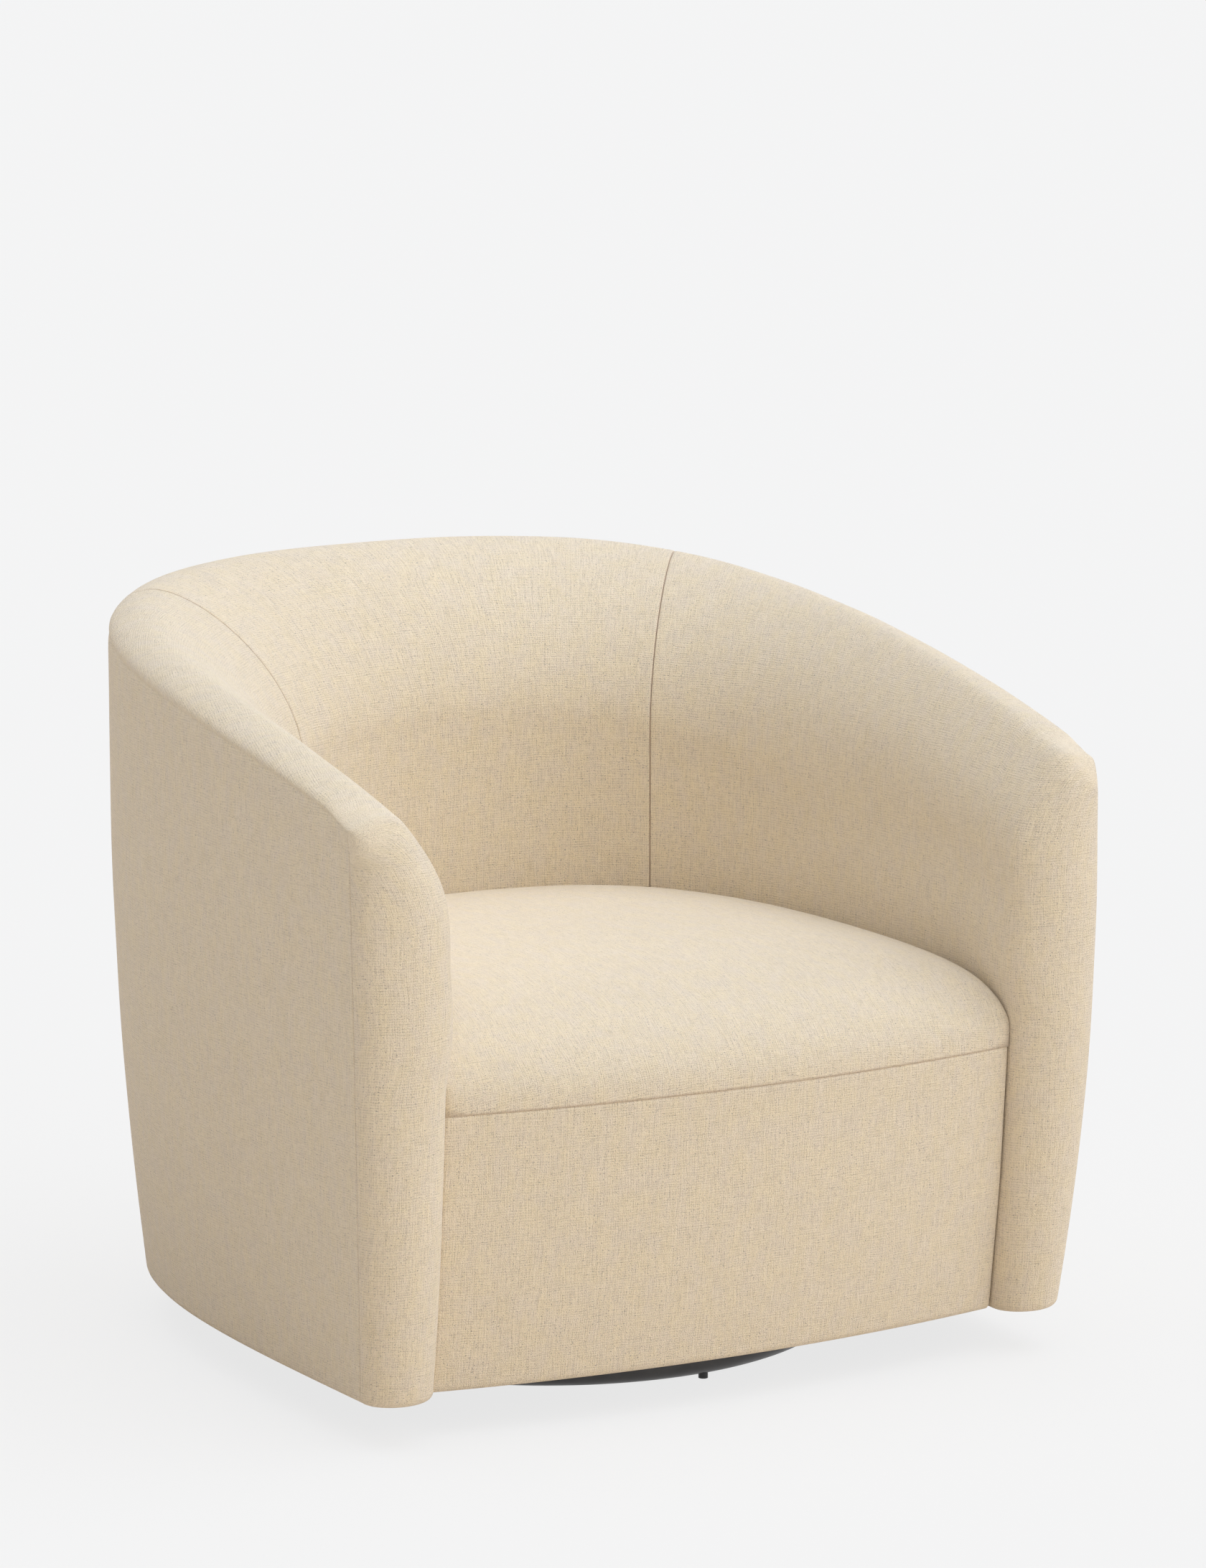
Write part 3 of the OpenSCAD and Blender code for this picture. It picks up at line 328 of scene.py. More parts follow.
def meshFromGrids(name, outside, inside, uv, marks, wrap=False, caps=None):
    rows, cols = outside.shape[:2]
    faces = gridFaces(rows, cols, wrap)
    points, coords = outside.reshape(-1, 3), uv.reshape(-1, 2)
    if inside is not None:
        points, coords = np.concatenate([points, inside.reshape(-1, 3)]), np.concatenate([coords, coords])
        faces += wallFaces(rows, cols)
    if caps is not None:
        points, coords = np.concatenate([points, caps["points"]]), np.concatenate([coords, caps["uv"]])
        faces += capFaces(rows, cols)
    marks = np.concatenate([marks.reshape(-1, 2), np.zeros((len(points) - rows * cols, 2))])
    mesh = bpy.data.meshes.new(name)
    mesh.from_pydata((points * mm).tolist(), [], faces)
    layer = mesh.uv_layers.new(name="cloth")
    index = np.empty(len(mesh.loops), int)
    mesh.loops.foreach_get("vertex_index", index)
    layer.data.foreach_set("uv", (coords[index] * mm).astype(np.float32).ravel())
    # seam carries the strength of the painted crevice shade; corner carries where straight threads give way
    for k, label in enumerate(("seam", "corner")):
        layer = mesh.attributes.new(label, "FLOAT", "POINT")
        layer.data.foreach_set("value", marks[:, k].astype(np.float32))
    return closedPiece(name, mesh)


def closedPiece(name, mesh):
    bm = bmesh.new()
    bm.from_mesh(mesh)
    bmesh.ops.remove_doubles(bm, verts=bm.verts, dist=2e-6)
    bmesh.ops.dissolve_degenerate(bm, edges=bm.edges, dist=1e-7)
    bmesh.ops.recalc_face_normals(bm, faces=bm.faces)
    loose = sum(1 for edge in bm.edges if len(edge.link_faces) != 2)
    bm.to_mesh(mesh)
    bm.free()
    piece = bpy.data.objects.new(name, mesh)
    bpy.context.scene.collection.objects.link(piece)
    for polygon in mesh.polygons:
        polygon.use_smooth = True
    print(name, len(mesh.polygons), "faces", loose, "open edges")
    return piece


def dress(piece, material, body, slotName, *replaced):
    piece.data.materials.clear()
    piece.data.materials.append(material)
    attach(piece, body)
    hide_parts(*replaced)


class Wire:
    # a socket that takes part in sums

    def __init__(self, tree, socket):
        self.tree, self.socket = tree, socket

    def maths(self, kind, first, second=None):
        node = self.tree.nodes.new("ShaderNodeMath")
        node.operation = kind
        for index, value in enumerate([first] if second is None else [first, second]):
            if isinstance(value, Wire):
                self.tree.links.new(value.socket, node.inputs[index])
            else:
                node.inputs[index].default_value = value
        return Wire(self.tree, node.outputs[0])

    def __add__(self, other):
        return self.maths("ADD", self, other)

    def __sub__(self, other):
        return self.maths("SUBTRACT", self, other)

    def __rsub__(self, other):
        return self.maths("SUBTRACT", other, self)

    def __mul__(self, other):
        return self.maths("MULTIPLY", self, other)

    def __truediv__(self, other):
        return self.maths("DIVIDE", self, other)

    def sine(self):
        return self.maths("SINE", self)


class Bench:
    # the nodes of one material, or of the world

    def __init__(self, name, world=False):
        self.material = (bpy.data.worlds if world else bpy.data.materials).new(name)
        self.material.use_nodes = True
        self.tree = self.material.node_tree
        self.tree.nodes.clear()

    def add(self, kind, settings, sockets, out=0):
        node = self.tree.nodes.new(kind)
        for key, value in settings.items():
            setattr(node, key, value)
        for key, value in sockets.items():
            if isinstance(value, Wire):
                self.tree.links.new(value.socket, node.inputs[key])
            else:
                node.inputs[key].default_value = value
        return Wire(self.tree, node.outputs[out]) if len(node.outputs) else None

    def blend(self, factor, a, b):
        tones = [(*x, 1) if isinstance(x, tuple) else x for x in (a, b)]
        return self.add("ShaderNodeMix", {"data_type": "RGBA"}, {0: factor, 6: tones[0], 7: tones[1]}, 2)

    def span(self, value, low, high, toLow=0.0, toHigh=1.0):
        return self.add("ShaderNodeMapRange", {"clamp": True}, {0: value, 1: low, 2: high, 3: toLow, 4: toHigh})

    def noise(self, vector, scale, detail=2.0, rough=0.5):
        return self.add("ShaderNodeTexNoise", {"noise_dimensions": "3D"},
                        {"Vector": vector, "Scale": scale, "Detail": detail, "Roughness": rough})

    def joined(self, x, y, z=0.0):
        return self.add("ShaderNodeCombineXYZ", {}, {0: x, 1: y, 2: z})

    def parts(self, vector):                               # its x and y, in millimetres
        return [self.add("ShaderNodeSeparateXYZ", {}, {0: vector}, out) * 1000 for out in (0, 1)]

    def marked(self, label):                               # a value that the mesh's points carry
        return self.add("ShaderNodeAttribute", {"attribute_type": "GEOMETRY", "attribute_name": label}, {}, 2)

    def objectAt(self, x=1, y=1, z=1):
        at = self.add("ShaderNodeTexCoord", {}, {}, 3)
        return self.add("ShaderNodeMapping", {}, {"Vector": at, "Scale": (x, y, z)})

    def bump(self, strength, distance, height):
        return self.add("ShaderNodeBump", {}, {"Strength": strength, "Distance": distance, "Height": height})

    def finish(self, sockets):
        shader = self.add("ShaderNodeBsdfPrincipled", {}, sockets)
        self.add("ShaderNodeOutputMaterial", {}, {0: shader})
        return self.material


# seam is the colour of the painted shade in the crevice along each seam and crease
linen = {
    "straw": (0.960, 0.805, 0.555), "lilac": (0.930, 0.790, 0.605), "shade": (0.400, 0.312, 0.200),
    "pale": (1.000, 0.860, 0.640), "speck": (0.26, 0.20, 0.14), "seam": (0.50, 0.33, 0.21),
    "thread": 1.25, "pickWide": 2.07, "pickHigh": 2.35, "slub": 2.2, "slubHigh": 7, "slubLong": 22, "grain": 0.95,
    "warpShare": 0.24, "weftShare": 0.20, "slubShare": 0.10, "acrossShare": 0.08, "grainShare": 0.60,
    "endShare": 0.17, "pickShare": 0.19, "nubShare": 0.8, "nubScale": 1050, "contrast": 0.80,
    "sheen": 0.6, "sheenRough": 0.8, "bump": 0.8, "deep": 0.0007}


def strands(m, x, y, seed, spread, detail=1.0):            # uneven threads, as a value from -1 to 1
    return m.span(m.noise(m.joined(x, y, seed), 1.0, detail), 0.5 - spread, 0.5 + spread, -1, 1)


def linenCloth():
    m = Bench("cream_linen_weave")
    u, v = m.parts(m.add("ShaderNodeUVMap", {"uv_map": "cloth"}, {}))
    sway = m.noise(m.joined(u / 45, v / 60), 1.0, 1.0) * 5 + m.noise(m.joined(u / 9, v / 14, 4.0), 1.0, 1.0) * 0.9
    us, vs = u + sway, v + sway * 0.8
    warp = strands(m, us / linen["thread"], v / linen["slubLong"], 0.0, 0.25)
    weft = strands(m, u / linen["slubLong"], vs / linen["thread"], 7.0, 0.25)
    slub = strands(m, us / linen["slub"], v / linen["slubHigh"], 3.0, 0.2, 0.0)
    slubAcross = strands(m, u / linen["slubHigh"], vs / linen["slub"], 5.0, 0.2, 0.0)
    grain = strands(m, us / linen["grain"], vs / linen["grain"], 1.0, 0.28)
    uneven = m.noise(m.joined(us / 3.0, v / 40, 13.0), 1.0, 1.0) * 14
    shifted = m.noise(m.joined(us / 14, vs / 8, 17.0), 1.0, 1.0) * 6
    ends = (us * (2 * math.pi / linen["pickWide"]) + uneven).sine()
    picks = (vs * (2 * math.pi / linen["pickHigh"]) + shifted).sine()
    weave = ends * linen["endShare"] + picks * linen["pickShare"]
    threads = warp * linen["warpShare"] + weft * linen["weftShare"] + slub * linen["slubShare"] \
        + slubAcross * linen["acrossShare"] + grain * linen["grainShare"] + weave
    even = 1.0 - m.span(m.marked("corner"), 0.0, 0.6)      # at an arm's corner the cloth shows no straight threads
    nub = m.span(m.noise(m.objectAt(*3 * [linen["nubScale"]]), 1.0, 1.0), 0.22, 0.78, -1, 1)
    threads = threads * even + nub * (1.0 - even) * linen["nubShare"]
    patch = (m.noise(m.joined(us / 14, v / 27, 9.0), 1.0, 2.0) - 0.5) * even + 0.5
    tone = m.blend(m.span(patch, 0.36, 0.66), linen["straw"], linen["lilac"])
    tone = m.blend(m.span(threads, -1.2, 0.08, linen["contrast"], 0.0), tone, linen["shade"])
    tone = m.blend(m.span(threads, -0.05, 0.9, 0.0, 0.95), tone, linen["pale"])
    spots = m.noise(m.joined(us / 1.8, vs / 1.3, 11.0), 1.0, 0.0) * even
    tone = m.blend(m.span(spots, 0.72, 0.80, 0.0, 0.8), tone, linen["speck"])
    # painted shade: seams and creases darkened and warmed in the base colour
    tone = m.blend(m.span(m.marked("seam"), 0.0, 1.0, 0.0, 0.6), tone, linen["seam"])
    height = (warp * 0.25 + weft * 0.25 + grain * 0.6 + weave * 0.6) * even + nub * (1.0 - even) * 0.6
    return m.finish({"Base Color": tone, "Roughness": m.span(threads, -1, 1, 0.97, 0.86),
                     "Normal": m.bump(linen["bump"], linen["deep"], height),
                     "Specular IOR Level": 0.15, "Sheen Weight": linen["sheen"],
                     "Sheen Roughness": linen["sheenRough"], "Sheen Tint": (1.0, 0.98, 0.95, 1)})


def satinPaint():
    m = Bench("charcoal_satin_powder_coat")
    peel = m.noise(m.objectAt(), 900.0, 2.0)
    wear = m.noise(m.objectAt(), 45.0, 4.0)
    tone = m.blend(m.span(wear, 0.35, 0.7), (0.055, 0.053, 0.052), (0.085, 0.082, 0.080))
    normal = m.bump(0.25, 0.0003, peel)
    return m.finish({"Base Color": tone, "Roughness": m.span(wear, 0.3, 0.7, 0.34, 0.48), "Normal": normal,
                     "Metallic": 0.25, "Specular IOR Level": 0.5})


def brushedSteel():
    m = Bench("zinc_plated_steel")
    grain = m.noise(m.objectAt(60, 2200, 400), 1.0, 3.0)
    cloud = m.noise(m.objectAt(), 70.0, 4.0)
    tone = m.blend(m.span(cloud, 0.3, 0.7), (0.50, 0.50, 0.49), (0.66, 0.66, 0.63))
    normal = m.bump(0.12, 0.0002, grain)
    return m.finish({"Base Color": tone, "Metallic": 1.0, "Roughness": m.span(grain, 0.3, 0.7, 0.28, 0.42),
                     "Normal": normal})


def plastic(name, dark, light, rough):
    m = Bench(name)
    pore = m.noise(m.objectAt(), 1600.0, 2.0)
    tone = m.blend(m.noise(m.objectAt(), 60.0, 3.0), dark, light)
    normal = m.bump(0.3, 0.0002, pore)
    return m.finish({"Base Color": tone, "Roughness": m.span(pore, 0.3, 0.7, rough - 0.06, rough + 0.06),
                     "Normal": normal})


def timber(name, along):
    m = Bench(name)
    scale = 3 * [90.0]
    scale[along] = 5.0
    ringed = m.noise(m.objectAt(*scale), 1.0, 4.0, 0.55)
    fibre = m.noise(m.objectAt(*[s * 9 for s in scale]), 1.0, 2.0)
    tone = m.blend(m.span(ringed, 0.35, 0.65), (0.58, 0.41, 0.23), (0.74, 0.57, 0.37))
    tone = m.blend(m.span(fibre, 0.6, 0.75, 0, 0.5), tone, (0.40, 0.26, 0.13))
    normal = m.bump(0.35, 0.0004, fibre)
    return m.finish({"Base Color": tone, "Roughness": m.span(fibre, 0.3, 0.7, 0.62, 0.8), "Normal": normal})


def linerBoard():
    m = Bench("grey_brown_liner_board")
    fleck = m.add("ShaderNodeTexVoronoi", {"feature": "F1"}, {"Vector": m.objectAt(), "Scale": 260.0}, 1)
    cloud = m.noise(m.objectAt(), 35.0, 5.0)
    tone = m.blend(m.span(cloud, 0.3, 0.7), (0.42, 0.31, 0.20), (0.56, 0.44, 0.31))
    tone = m.blend(0.12, tone, fleck)
    normal = m.bump(0.3, 0.0004, m.noise(m.objectAt(), 600.0, 3.0))
    return m.finish({"Base Color": tone, "Roughness": m.span(cloud, 0.3, 0.7, 0.82, 0.95), "Normal": normal})


def plainCloth(name, dark, light, pitch, stripe=None, stripeApart=25):
    m = Bench(name)
    x, y = m.parts(m.add("ShaderNodeTexCoord", {}, {}, 3))
    weave = (x * (math.pi / pitch)).sine() * (y * (math.pi / pitch)).sine()
    cloud = m.noise(m.objectAt(), 120.0, 3.0)
    tone = m.blend(m.span(weave * 0.5 + cloud, 0.2, 1.0), dark, light)
    if stripe:
        band = (x * (2 * math.pi / stripeApart)).sine()
        tone = m.blend(m.span(band, 0.90, 0.96, 0.0, 0.7), tone, stripe)
    normal = m.bump(0.5, 0.0005, weave + cloud)
    return m.finish({"Base Color": tone, "Roughness": m.span(cloud, 0.3, 0.7, 0.82, 0.95), "Normal": normal})


fabric = linenCloth()
ringPaint = satinPaint()
steel = brushedSteel()
glideBlack = plastic("black_glide_plastic", (0.012, 0.012, 0.012), (0.03, 0.03, 0.03), 0.45)
cagePlastic = plastic("ivory_cage_plastic", (0.70, 0.68, 0.62), (0.80, 0.78, 0.72), 0.5)
timberX, timberY, timberZ = timber("frame_timber_x", 0), timber("frame_timber_y", 1), timber("frame_timber_z", 2)
board = linerBoard()
dustBlack = plainCloth("black_dust_cloth", (0.010, 0.010, 0.011), (0.035, 0.035, 0.036), 0.8)
deckBlack = plainCloth("black_deck_cloth", (0.015, 0.015, 0.015), (0.05, 0.05, 0.05), 1.1)
strapWeave = plainCloth("jute_webbing", (0.52, 0.46, 0.36), (0.76, 0.72, 0.62), 1.6, (0.30, 0.10, 0.07))
print("materials done")

finishes = {
    "base_ring": ringPaint, "base_cross": ringPaint, "base_glides": glideBlack, "ball_cage": cagePlastic,
    "mounting_rail_left": timberY, "mounting_rail_right": timberY, "front_stretcher": timberX,
    "front_rail": timberX, "corner_blocks": timberZ, "lower_ribs": timberZ, "upper_ribs": timberZ,
    "panel_wedges": timberZ, "panel_board": board, "webbing_long": strapWeave, "webbing_cross": strapWeave,
    "seat_deck": deckBlack, "dust_cover": dustBlack}
for name, node in nodes.items():
    if name in finishes:
        finish = finishes[name]
    elif "liner" in name:
        finish = board
    elif "back" in name and ("board" in name or "rail" in name):
        finish = timberX
    elif "board" in name or "rail" in name:
        finish = timberY
    elif "foam" in name or "cover" in name:
        continue
    else:
        finish = steel
    for opening in node.material_slots:
        opening.material = finish


# Each piece is cut from its own part of the cloth, so that no two show the same threads.
cutAt = {"armLeft": (3100, 0), "insideBack": (900, 0), "outside": (5200, 0), "frontPanel": (0, 2000)}

# the line of each seam sets how strong the painted crevice shade along it is
armPad = {"frontLength": 120, "frontStep": 4.5, "insideLength": 690, "insideStep": 7, "lowGap": 3,
          "footFrom": 0.035, "footTo": 0.065, "frontUntil": 0.05, "rowDrop": 6, "rowEase": 5, "easeRows": 3,
          "middle": (345, -300, 330), "inwards": (-1.0, -0.6, 0.0), "forwards": -0.15, "softness": 0.5,
          "crease": {"depth": 1.6, "radius": 10, "gathers": 0.1, "shadeLine": 0.15},
          "outsideSeam": {"depth": 0.2, "radius": 2.0, "gathers": 0.06, "shadeLine": 0.35},
          "backSeam": {"depth": 0.84, "radius": 3.0, "gathers": 0.2, "shadeLine": 0.8}}


def armSurface(turns, ts, outer, innerShare, top, front, low):
    t = np.concatenate([np.zeros(len(turns) - 1), ts])
    foot = low + (tub["foot"] - low) * ramp(t, armPad["footFrom"], armPad["footTo"])
    insets = [outer, innerShare * foamDeep(t) + (1 - innerShare) * outer, top]
    d, z = section(t, foot, insets)
    points = place(t, d - tuckIn(z) * (t < armPad["frontUntil"]), z)
    level = np.array([{"rise": value / 30, "over": 3 + value / 15, "down": 9 + 5 * value}[kind]
                      for kind, value in rowList])
    crease = float(rim(0.0)) - top
    ease = armPad["rowEase"] * np.minimum(1, level / armPad["easeRows"])
    leftZ = np.maximum(softMin(z[:, 0], crease - armPad["rowDrop"] * level, ease), low)
    leftZ[0] = crease
    left = place(0.0, outer + taper(0.0, leftZ) + tuckIn(leftZ), leftZ)
    right = points[:, len(turns) - 1]
    for col, turn in enumerate(turns[:-1]):
        p = (left + right) / 2 + (left - right) / 2 * math.cos(math.radians(turn))
        full = frontFullness(p[:, 0], p[:, 2], outer, right[:, 0], right[:, 2]) if col else 0 * p[:, 0]
        p[:, 1] = tub["frontY"] + lean(p[:, 2]) - full * (tub["armBulge"] - front - tuckIn(p[:, 2]))
        points[:, col] = p
    points[0, :len(turns) - 1] = left[0]
    return roundCorner(points)


def armGrids():
    turns = stations(0, 180, armPad["frontLength"], armPad["frontStep"], True, False)
    ts = stations(0, tub["seamAt"] - tub["seamGap"], armPad["insideLength"], armPad["insideStep"], False, True)
    outside = armSurface(turns, ts, 0, 0, 0, 0, tub["floorGap"])
    inside = armSurface(turns, ts, tub["lip"], 1, tub["topFoam"], tub["topFoam"], tub["floorGap"] + armPad["lowGap"])
    front = len(turns) - 1
    across = runLength(outside, 1)
    along = across[faceRow]
    u = np.broadcast_to(along, across.shape).copy()
    u[:, :front] = along[front] - (across[:, front:front + 1] - across[:, :front])
    v = outside[-1, :, 2] + runLength(outside[::-1], 0)[::-1]
    outward = outside - np.array(armPad["middle"], float)
    outward[:, front:] = armPad["inwards"]
    rows, over = rollOutward(ts, 1, armPad["forwards"])
    outward[rows, :front] = (0, armPad["forwards"], 1)
    outward[rows, front:] = over
    outside, marks = turnIn(outside, outward, [
        (runLength(outside, 0), u, armPad["crease"]), (across, v, armPad["outsideSeam"]),
        (across[:, -1:] - across, v, armPad["backSeam"])], armPad["softness"], u, v)
    return outside, inside, np.stack([u, v], -1), marks


armOut, armIn, armUv, armMarks = armGrids()
armRight = meshFromGrids("arm_upholstery_right", armOut, armIn, armUv, armMarks)
armLeft = meshFromGrids("arm_upholstery_left", onSide(armOut, -1), onSide(armIn, -1),
                        armUv * [-1, 1] + cutAt["armLeft"], armMarks)
for piece, side in ((armRight, "right"), (armLeft, "left")):
    dress(piece, fabric, "seat", "upholstery_fabric", "arm_cover_" + side, "arm_foam_" + side)
print("arms done")


backPad = {"halfLength": 250, "step": 7, "forwards": -0.1, "softness": 0.6,
           "crease": {"depth": 1.6, "radius": 10, "gathers": 0.1, "shadeLine": 0.15},
           "sideSeam": {"depth": 0.85, "radius": 3.0, "gathers": 0.2, "shadeLine": 0.8}}


def backGrids():
    t, side = bothHalves(stations(tub["seamAt"] + tub["seamGap"], 1, backPad["halfLength"], backPad["step"],
                                  True, False))

    def surface(outer, innerShare, top):
        d, z = section(t, tub["foot"] + 0 * t, [outer, innerShare * foamDeep(t) + (1 - innerShare) * outer, top])
        return onSide(place(t, d, z), side)

    outside, inside = surface(0, 0, 0), surface(tub["lip"], 1, tub["topFoam"])
    across = runLength(outside, 1)
    u = np.broadcast_to(across[faceRow], across.shape).copy()
    v = outside[-1, :, 2] + runLength(outside[::-1], 0)[::-1]
    outward = np.zeros_like(outside) - [0, 1, 0]
    rows, over = rollOutward(t, side, backPad["forwards"])
    outward[rows] = over
    outside, marks = turnIn(outside, outward, [
        (runLength(outside, 0), u, backPad["crease"]), (across, v, backPad["sideSeam"]),
        (across[:, -1:] - across, v, backPad["sideSeam"])], backPad["softness"], u, v)
    return outside, inside, np.stack([u, v], -1), marks


backOut, backIn, backUv, backMarks = backGrids()
insideBack = meshFromGrids("inside_back_upholstery", backOut, backIn, backUv + cutAt["insideBack"], backMarks)
dress(insideBack, fabric, "seat", "upholstery_fabric", "back_cover", "back_foam")
print("inside back done")


# The outside cover is one sheet round the tub, with a hem under the frame.
outsideCloth = {"thick": 1.4, "gap": 0.3, "startAt": 0.0002, "halfLength": 1150, "height": 600, "step": 9,
                "tuckFrom": 0.955, "tuckRows": 14, "hem": 22, "hemRows": (0.3, 0.65, 1), "softness": 0.35,
                "inside": (0, 20), "crease": {"depth": 2.0, "radius": 13, "gathers": 0.1, "shadeLine": 0.15},
                "armSeam": {"depth": 0.2, "radius": 2.0, "gathers": 0.1, "shadeLine": 0.35}}


def outsideGrids():
    t, side = bothHalves(stations(outsideCloth["startAt"], 1, outsideCloth["halfLength"], outsideCloth["step"],
                                  True, False))
    tuckFrom = outsideCloth["tuckFrom"]
    shares = stations(0, 1, outsideCloth["height"], outsideCloth["step"], True, False)[:-1] * tuckFrom
    shares = np.concatenate([shares, np.linspace(tuckFrom, 1, outsideCloth["tuckRows"])])
    top = rim(t) - outsideCloth["gap"]

    def surface(inset):
        rows = []
        for share in shares:
            z = np.maximum(top + (tub["floorGap"] - top) * share, tub["floorGap"] + inset)
            rows.append(place(t, inset + taper(t, z) + tuckIn(z - inset), z))
        for reach in outsideCloth["hemRows"]:
            z = tub["floorGap"] + inset + 0 * t
            low = inset + taper(t, z) + tub["tuck"]
            rows.append(place(t, low + (outsideCloth["hem"] + taper(t, z) - low) * reach, z))
        return onSide(roundCorner(np.array(rows)), side)

    outside, inside = surface(0), surface(outsideCloth["thick"])
    across, down = runLength(outside, 1), runLength(outside, 0)
    u = np.broadcast_to(across[len(shares) // 2], across.shape).copy()
    v = outside[0, :, 2] - down
    outward = (outside - [*outsideCloth["inside"], 0]) * [1, 1, 0]
    moved, marks = turnIn(outside, outward, [
        (down, u, outsideCloth["crease"]), (across, v, outsideCloth["armSeam"]),
        (across[:, -1:] - across, v, outsideCloth["armSeam"])], outsideCloth["softness"], u, v)
    return moved, inside + moved - outside, np.stack([u, v], -1), marks * [1, 0]


outOut, outIn, outUv, outMarks = outsideGrids()
outsideCover = meshFromGrids("outside_cover_cloth", outOut, outIn, outUv + cutAt["outside"], outMarks)
dress(outsideCover, fabric, "seat", "upholstery_fabric", "outside_cover")
outsideArea = float(np.sum(np.linalg.norm(np.cross(
    outOut[1:, :-1] - outOut[:-1, :-1], outOut[:-1, 1:] - outOut[:-1, :-1]), axis=-1)))
print("outside cover done")


# The panel bows forwards between the arms, over a board.
frontPad = {"half": 299, "top": 302.6, "bow": 30, "edge": 4, "thin": 1.4, "hem": 22, "hemRows": (0.35, 0.7, 1),
            "step": 7, "height": 258, "tuckFrom": 0.93, "tuckRows": 14, "softness": 0.5,
            "boardInset": 14, "boardLow": 47, "boardHigh": 240, "boardGap": 0.4,
            "deepTop": (238, 226), "deepLow": (54, 57), "deepSide": (5, 9),
            "seam": {"depth": 1.0, "radius": 3.0, "gathers": 0.3, "shadeLine": 0.7}}


def panelY(x, z, inset):
    bow = frontPad["bow"] * (1 - (x / frontPad["half"]) ** 2)
    return tub["frontY"] + lean(z) - bow + inset + tuckIn(z)


def panelFront():                                          # the cloth, down to the floor's edge
    shares = stations(0, 1, frontPad["height"], frontPad["step"], True, False)[:-1] * frontPad["tuckFrom"]
    shares = np.concatenate([shares, np.linspace(frontPad["tuckFrom"], 1, frontPad["tuckRows"])])
    x, z = np.meshgrid(-stations(-frontPad["half"], frontPad["half"], 2 * frontPad["half"], frontPad["step"]),
                       frontPad["top"] + (tub["floorGap"] - frontPad["top"]) * shares)
    edge = frontPad["edge"]
    s = np.maximum(0, edge - (frontPad["half"] - abs(x)))
    return np.stack([x, panelY(x, z, 0) + edge - np.sqrt(np.maximum(0, edge * edge - s * s)), z], -1)


def panelBehind(outside):                                  # the padding's rear, and how far each point is on it
    x, z = outside[..., 0], outside[..., 2]
    low, high = frontPad["boardLow"], frontPad["boardHigh"]
    boardY = tub["frontY"] + frontPad["boardInset"] + lean(low) \
        + (lean(high) - lean(low)) * (z - low) / (high - low)
    thin = outside[..., 1] + frontPad["thin"]
    share = ramp(z, *frontPad["deepTop"]) * ramp(z, *frontPad["deepLow"]) \
        * ramp(frontPad["half"] - abs(x), *frontPad["deepSide"])
    y = thin + (np.maximum(boardY - frontPad["boardGap"], thin) - thin) * share
    return np.stack([x, y, np.maximum(z, tub["floorGap"] + frontPad["thin"])], -1), share


def panelGrids():
    front = panelFront()
    behind, share = panelBehind(front)
    hem = np.array([front[-1] + [0, (frontPad["hem"] - tub["tuck"]) * reach, 0] for reach in frontPad["hemRows"]])
    outside = np.concatenate([front, hem])
    inside = np.concatenate([behind, hem + [0, 0, frontPad["thin"]]])
    share = np.concatenate([share, np.zeros(hem.shape[:2])])
    across, down = runLength(outside, 1), runLength(outside, 0)
    u = np.broadcast_to(across[len(front) // 2], across.shape).copy()
    v = frontPad["top"] - down
    outward = np.zeros_like(outside) - [0, 1, 0]
    moved, marks = turnIn(outside, outward, [(down, u, frontPad["seam"])], frontPad["softness"], u, v)
    return moved, inside + (moved - outside) * (1 - share)[..., None], np.stack([u, v], -1), marks


panelOut, panelIn, panelUv, panelMarks = panelGrids()
frontPanel = meshFromGrids("front_panel_upholstery", panelOut, panelIn, panelUv + cutAt["frontPanel"], panelMarks)
dress(frontPanel, fabric, "seat", "upholstery_fabric", "panel_cover", "panel_foam")
print("front panel done")


# The seat is made of rings about a middle point: first over the crown, then down its sides.
seatPad = {"seam": 303, "edge": 382, "crown": 402, "rise": 21, "nose": 4, "crownTop": 6, "power": 3,
           "cornerPower": 13.6, "cornerEase": 90, "easePower": 0.7, "gap": 1, "low": 246.8, "middleY": -79,
           "softness": 0.8, "calmRows": 8, "step": 7, "sideLength": 800, "crownLength": 290, "frontPoints": 84,
           "frontReach": 16, "rearDrop": 4, "behindGap": 0.4, "shadeLine": 0.7, "shadeLineWide": 0.8,
           "behind": ((301.5, 3.0), (280, 3.2), (262, 3.2), (246.8, 3.2)),
           "foldFront": (-200, -320), "foldRear": (0, 120), "foldSide": (120, 260)}
seatT, seatSide = bothHalves(np.sort(1 - stations(0, 1, seatPad["sideLength"], seatPad["step"], False, True)))
seatFront = np.linspace(-1, 1, seatPad["frontPoints"])[1:-1]


def seatLoop(z, inset):                                    # round along the arms and the back, then the front
    tubZ, z = z[:len(seatT)], z[len(seatT):]
    d = wallWide(seatT) + seatSwell(seatT, tubZ) + seatPad["gap"] + inset
    half = place(0.0, wallWide(0.0) + seatSwell(0.0, z) + seatPad["gap"] + inset, z)[..., 0]
    front = np.stack([half * seatFront, panelY(seatFront * frontPad["half"], z, inset), z], -1)
    return np.concatenate([onSide(place(seatT, d, tubZ), seatSide), front])


def seatRim(atSeam):                                       # the height at which the crown ends, all round
    fore = 1 - np.clip((atSeam[:, 1] - tub["frontY"]) / innerDepth, 0, 1)
    drop = seatPad["edge"] - seatPad["rise"] - seatPad["seam"] - seatPad["nose"]
    return seatPad["edge"] - seatPad["rise"] * fore - drop * (1 - np.sqrt(1 - fore ** seatPad["cornerPower"]))


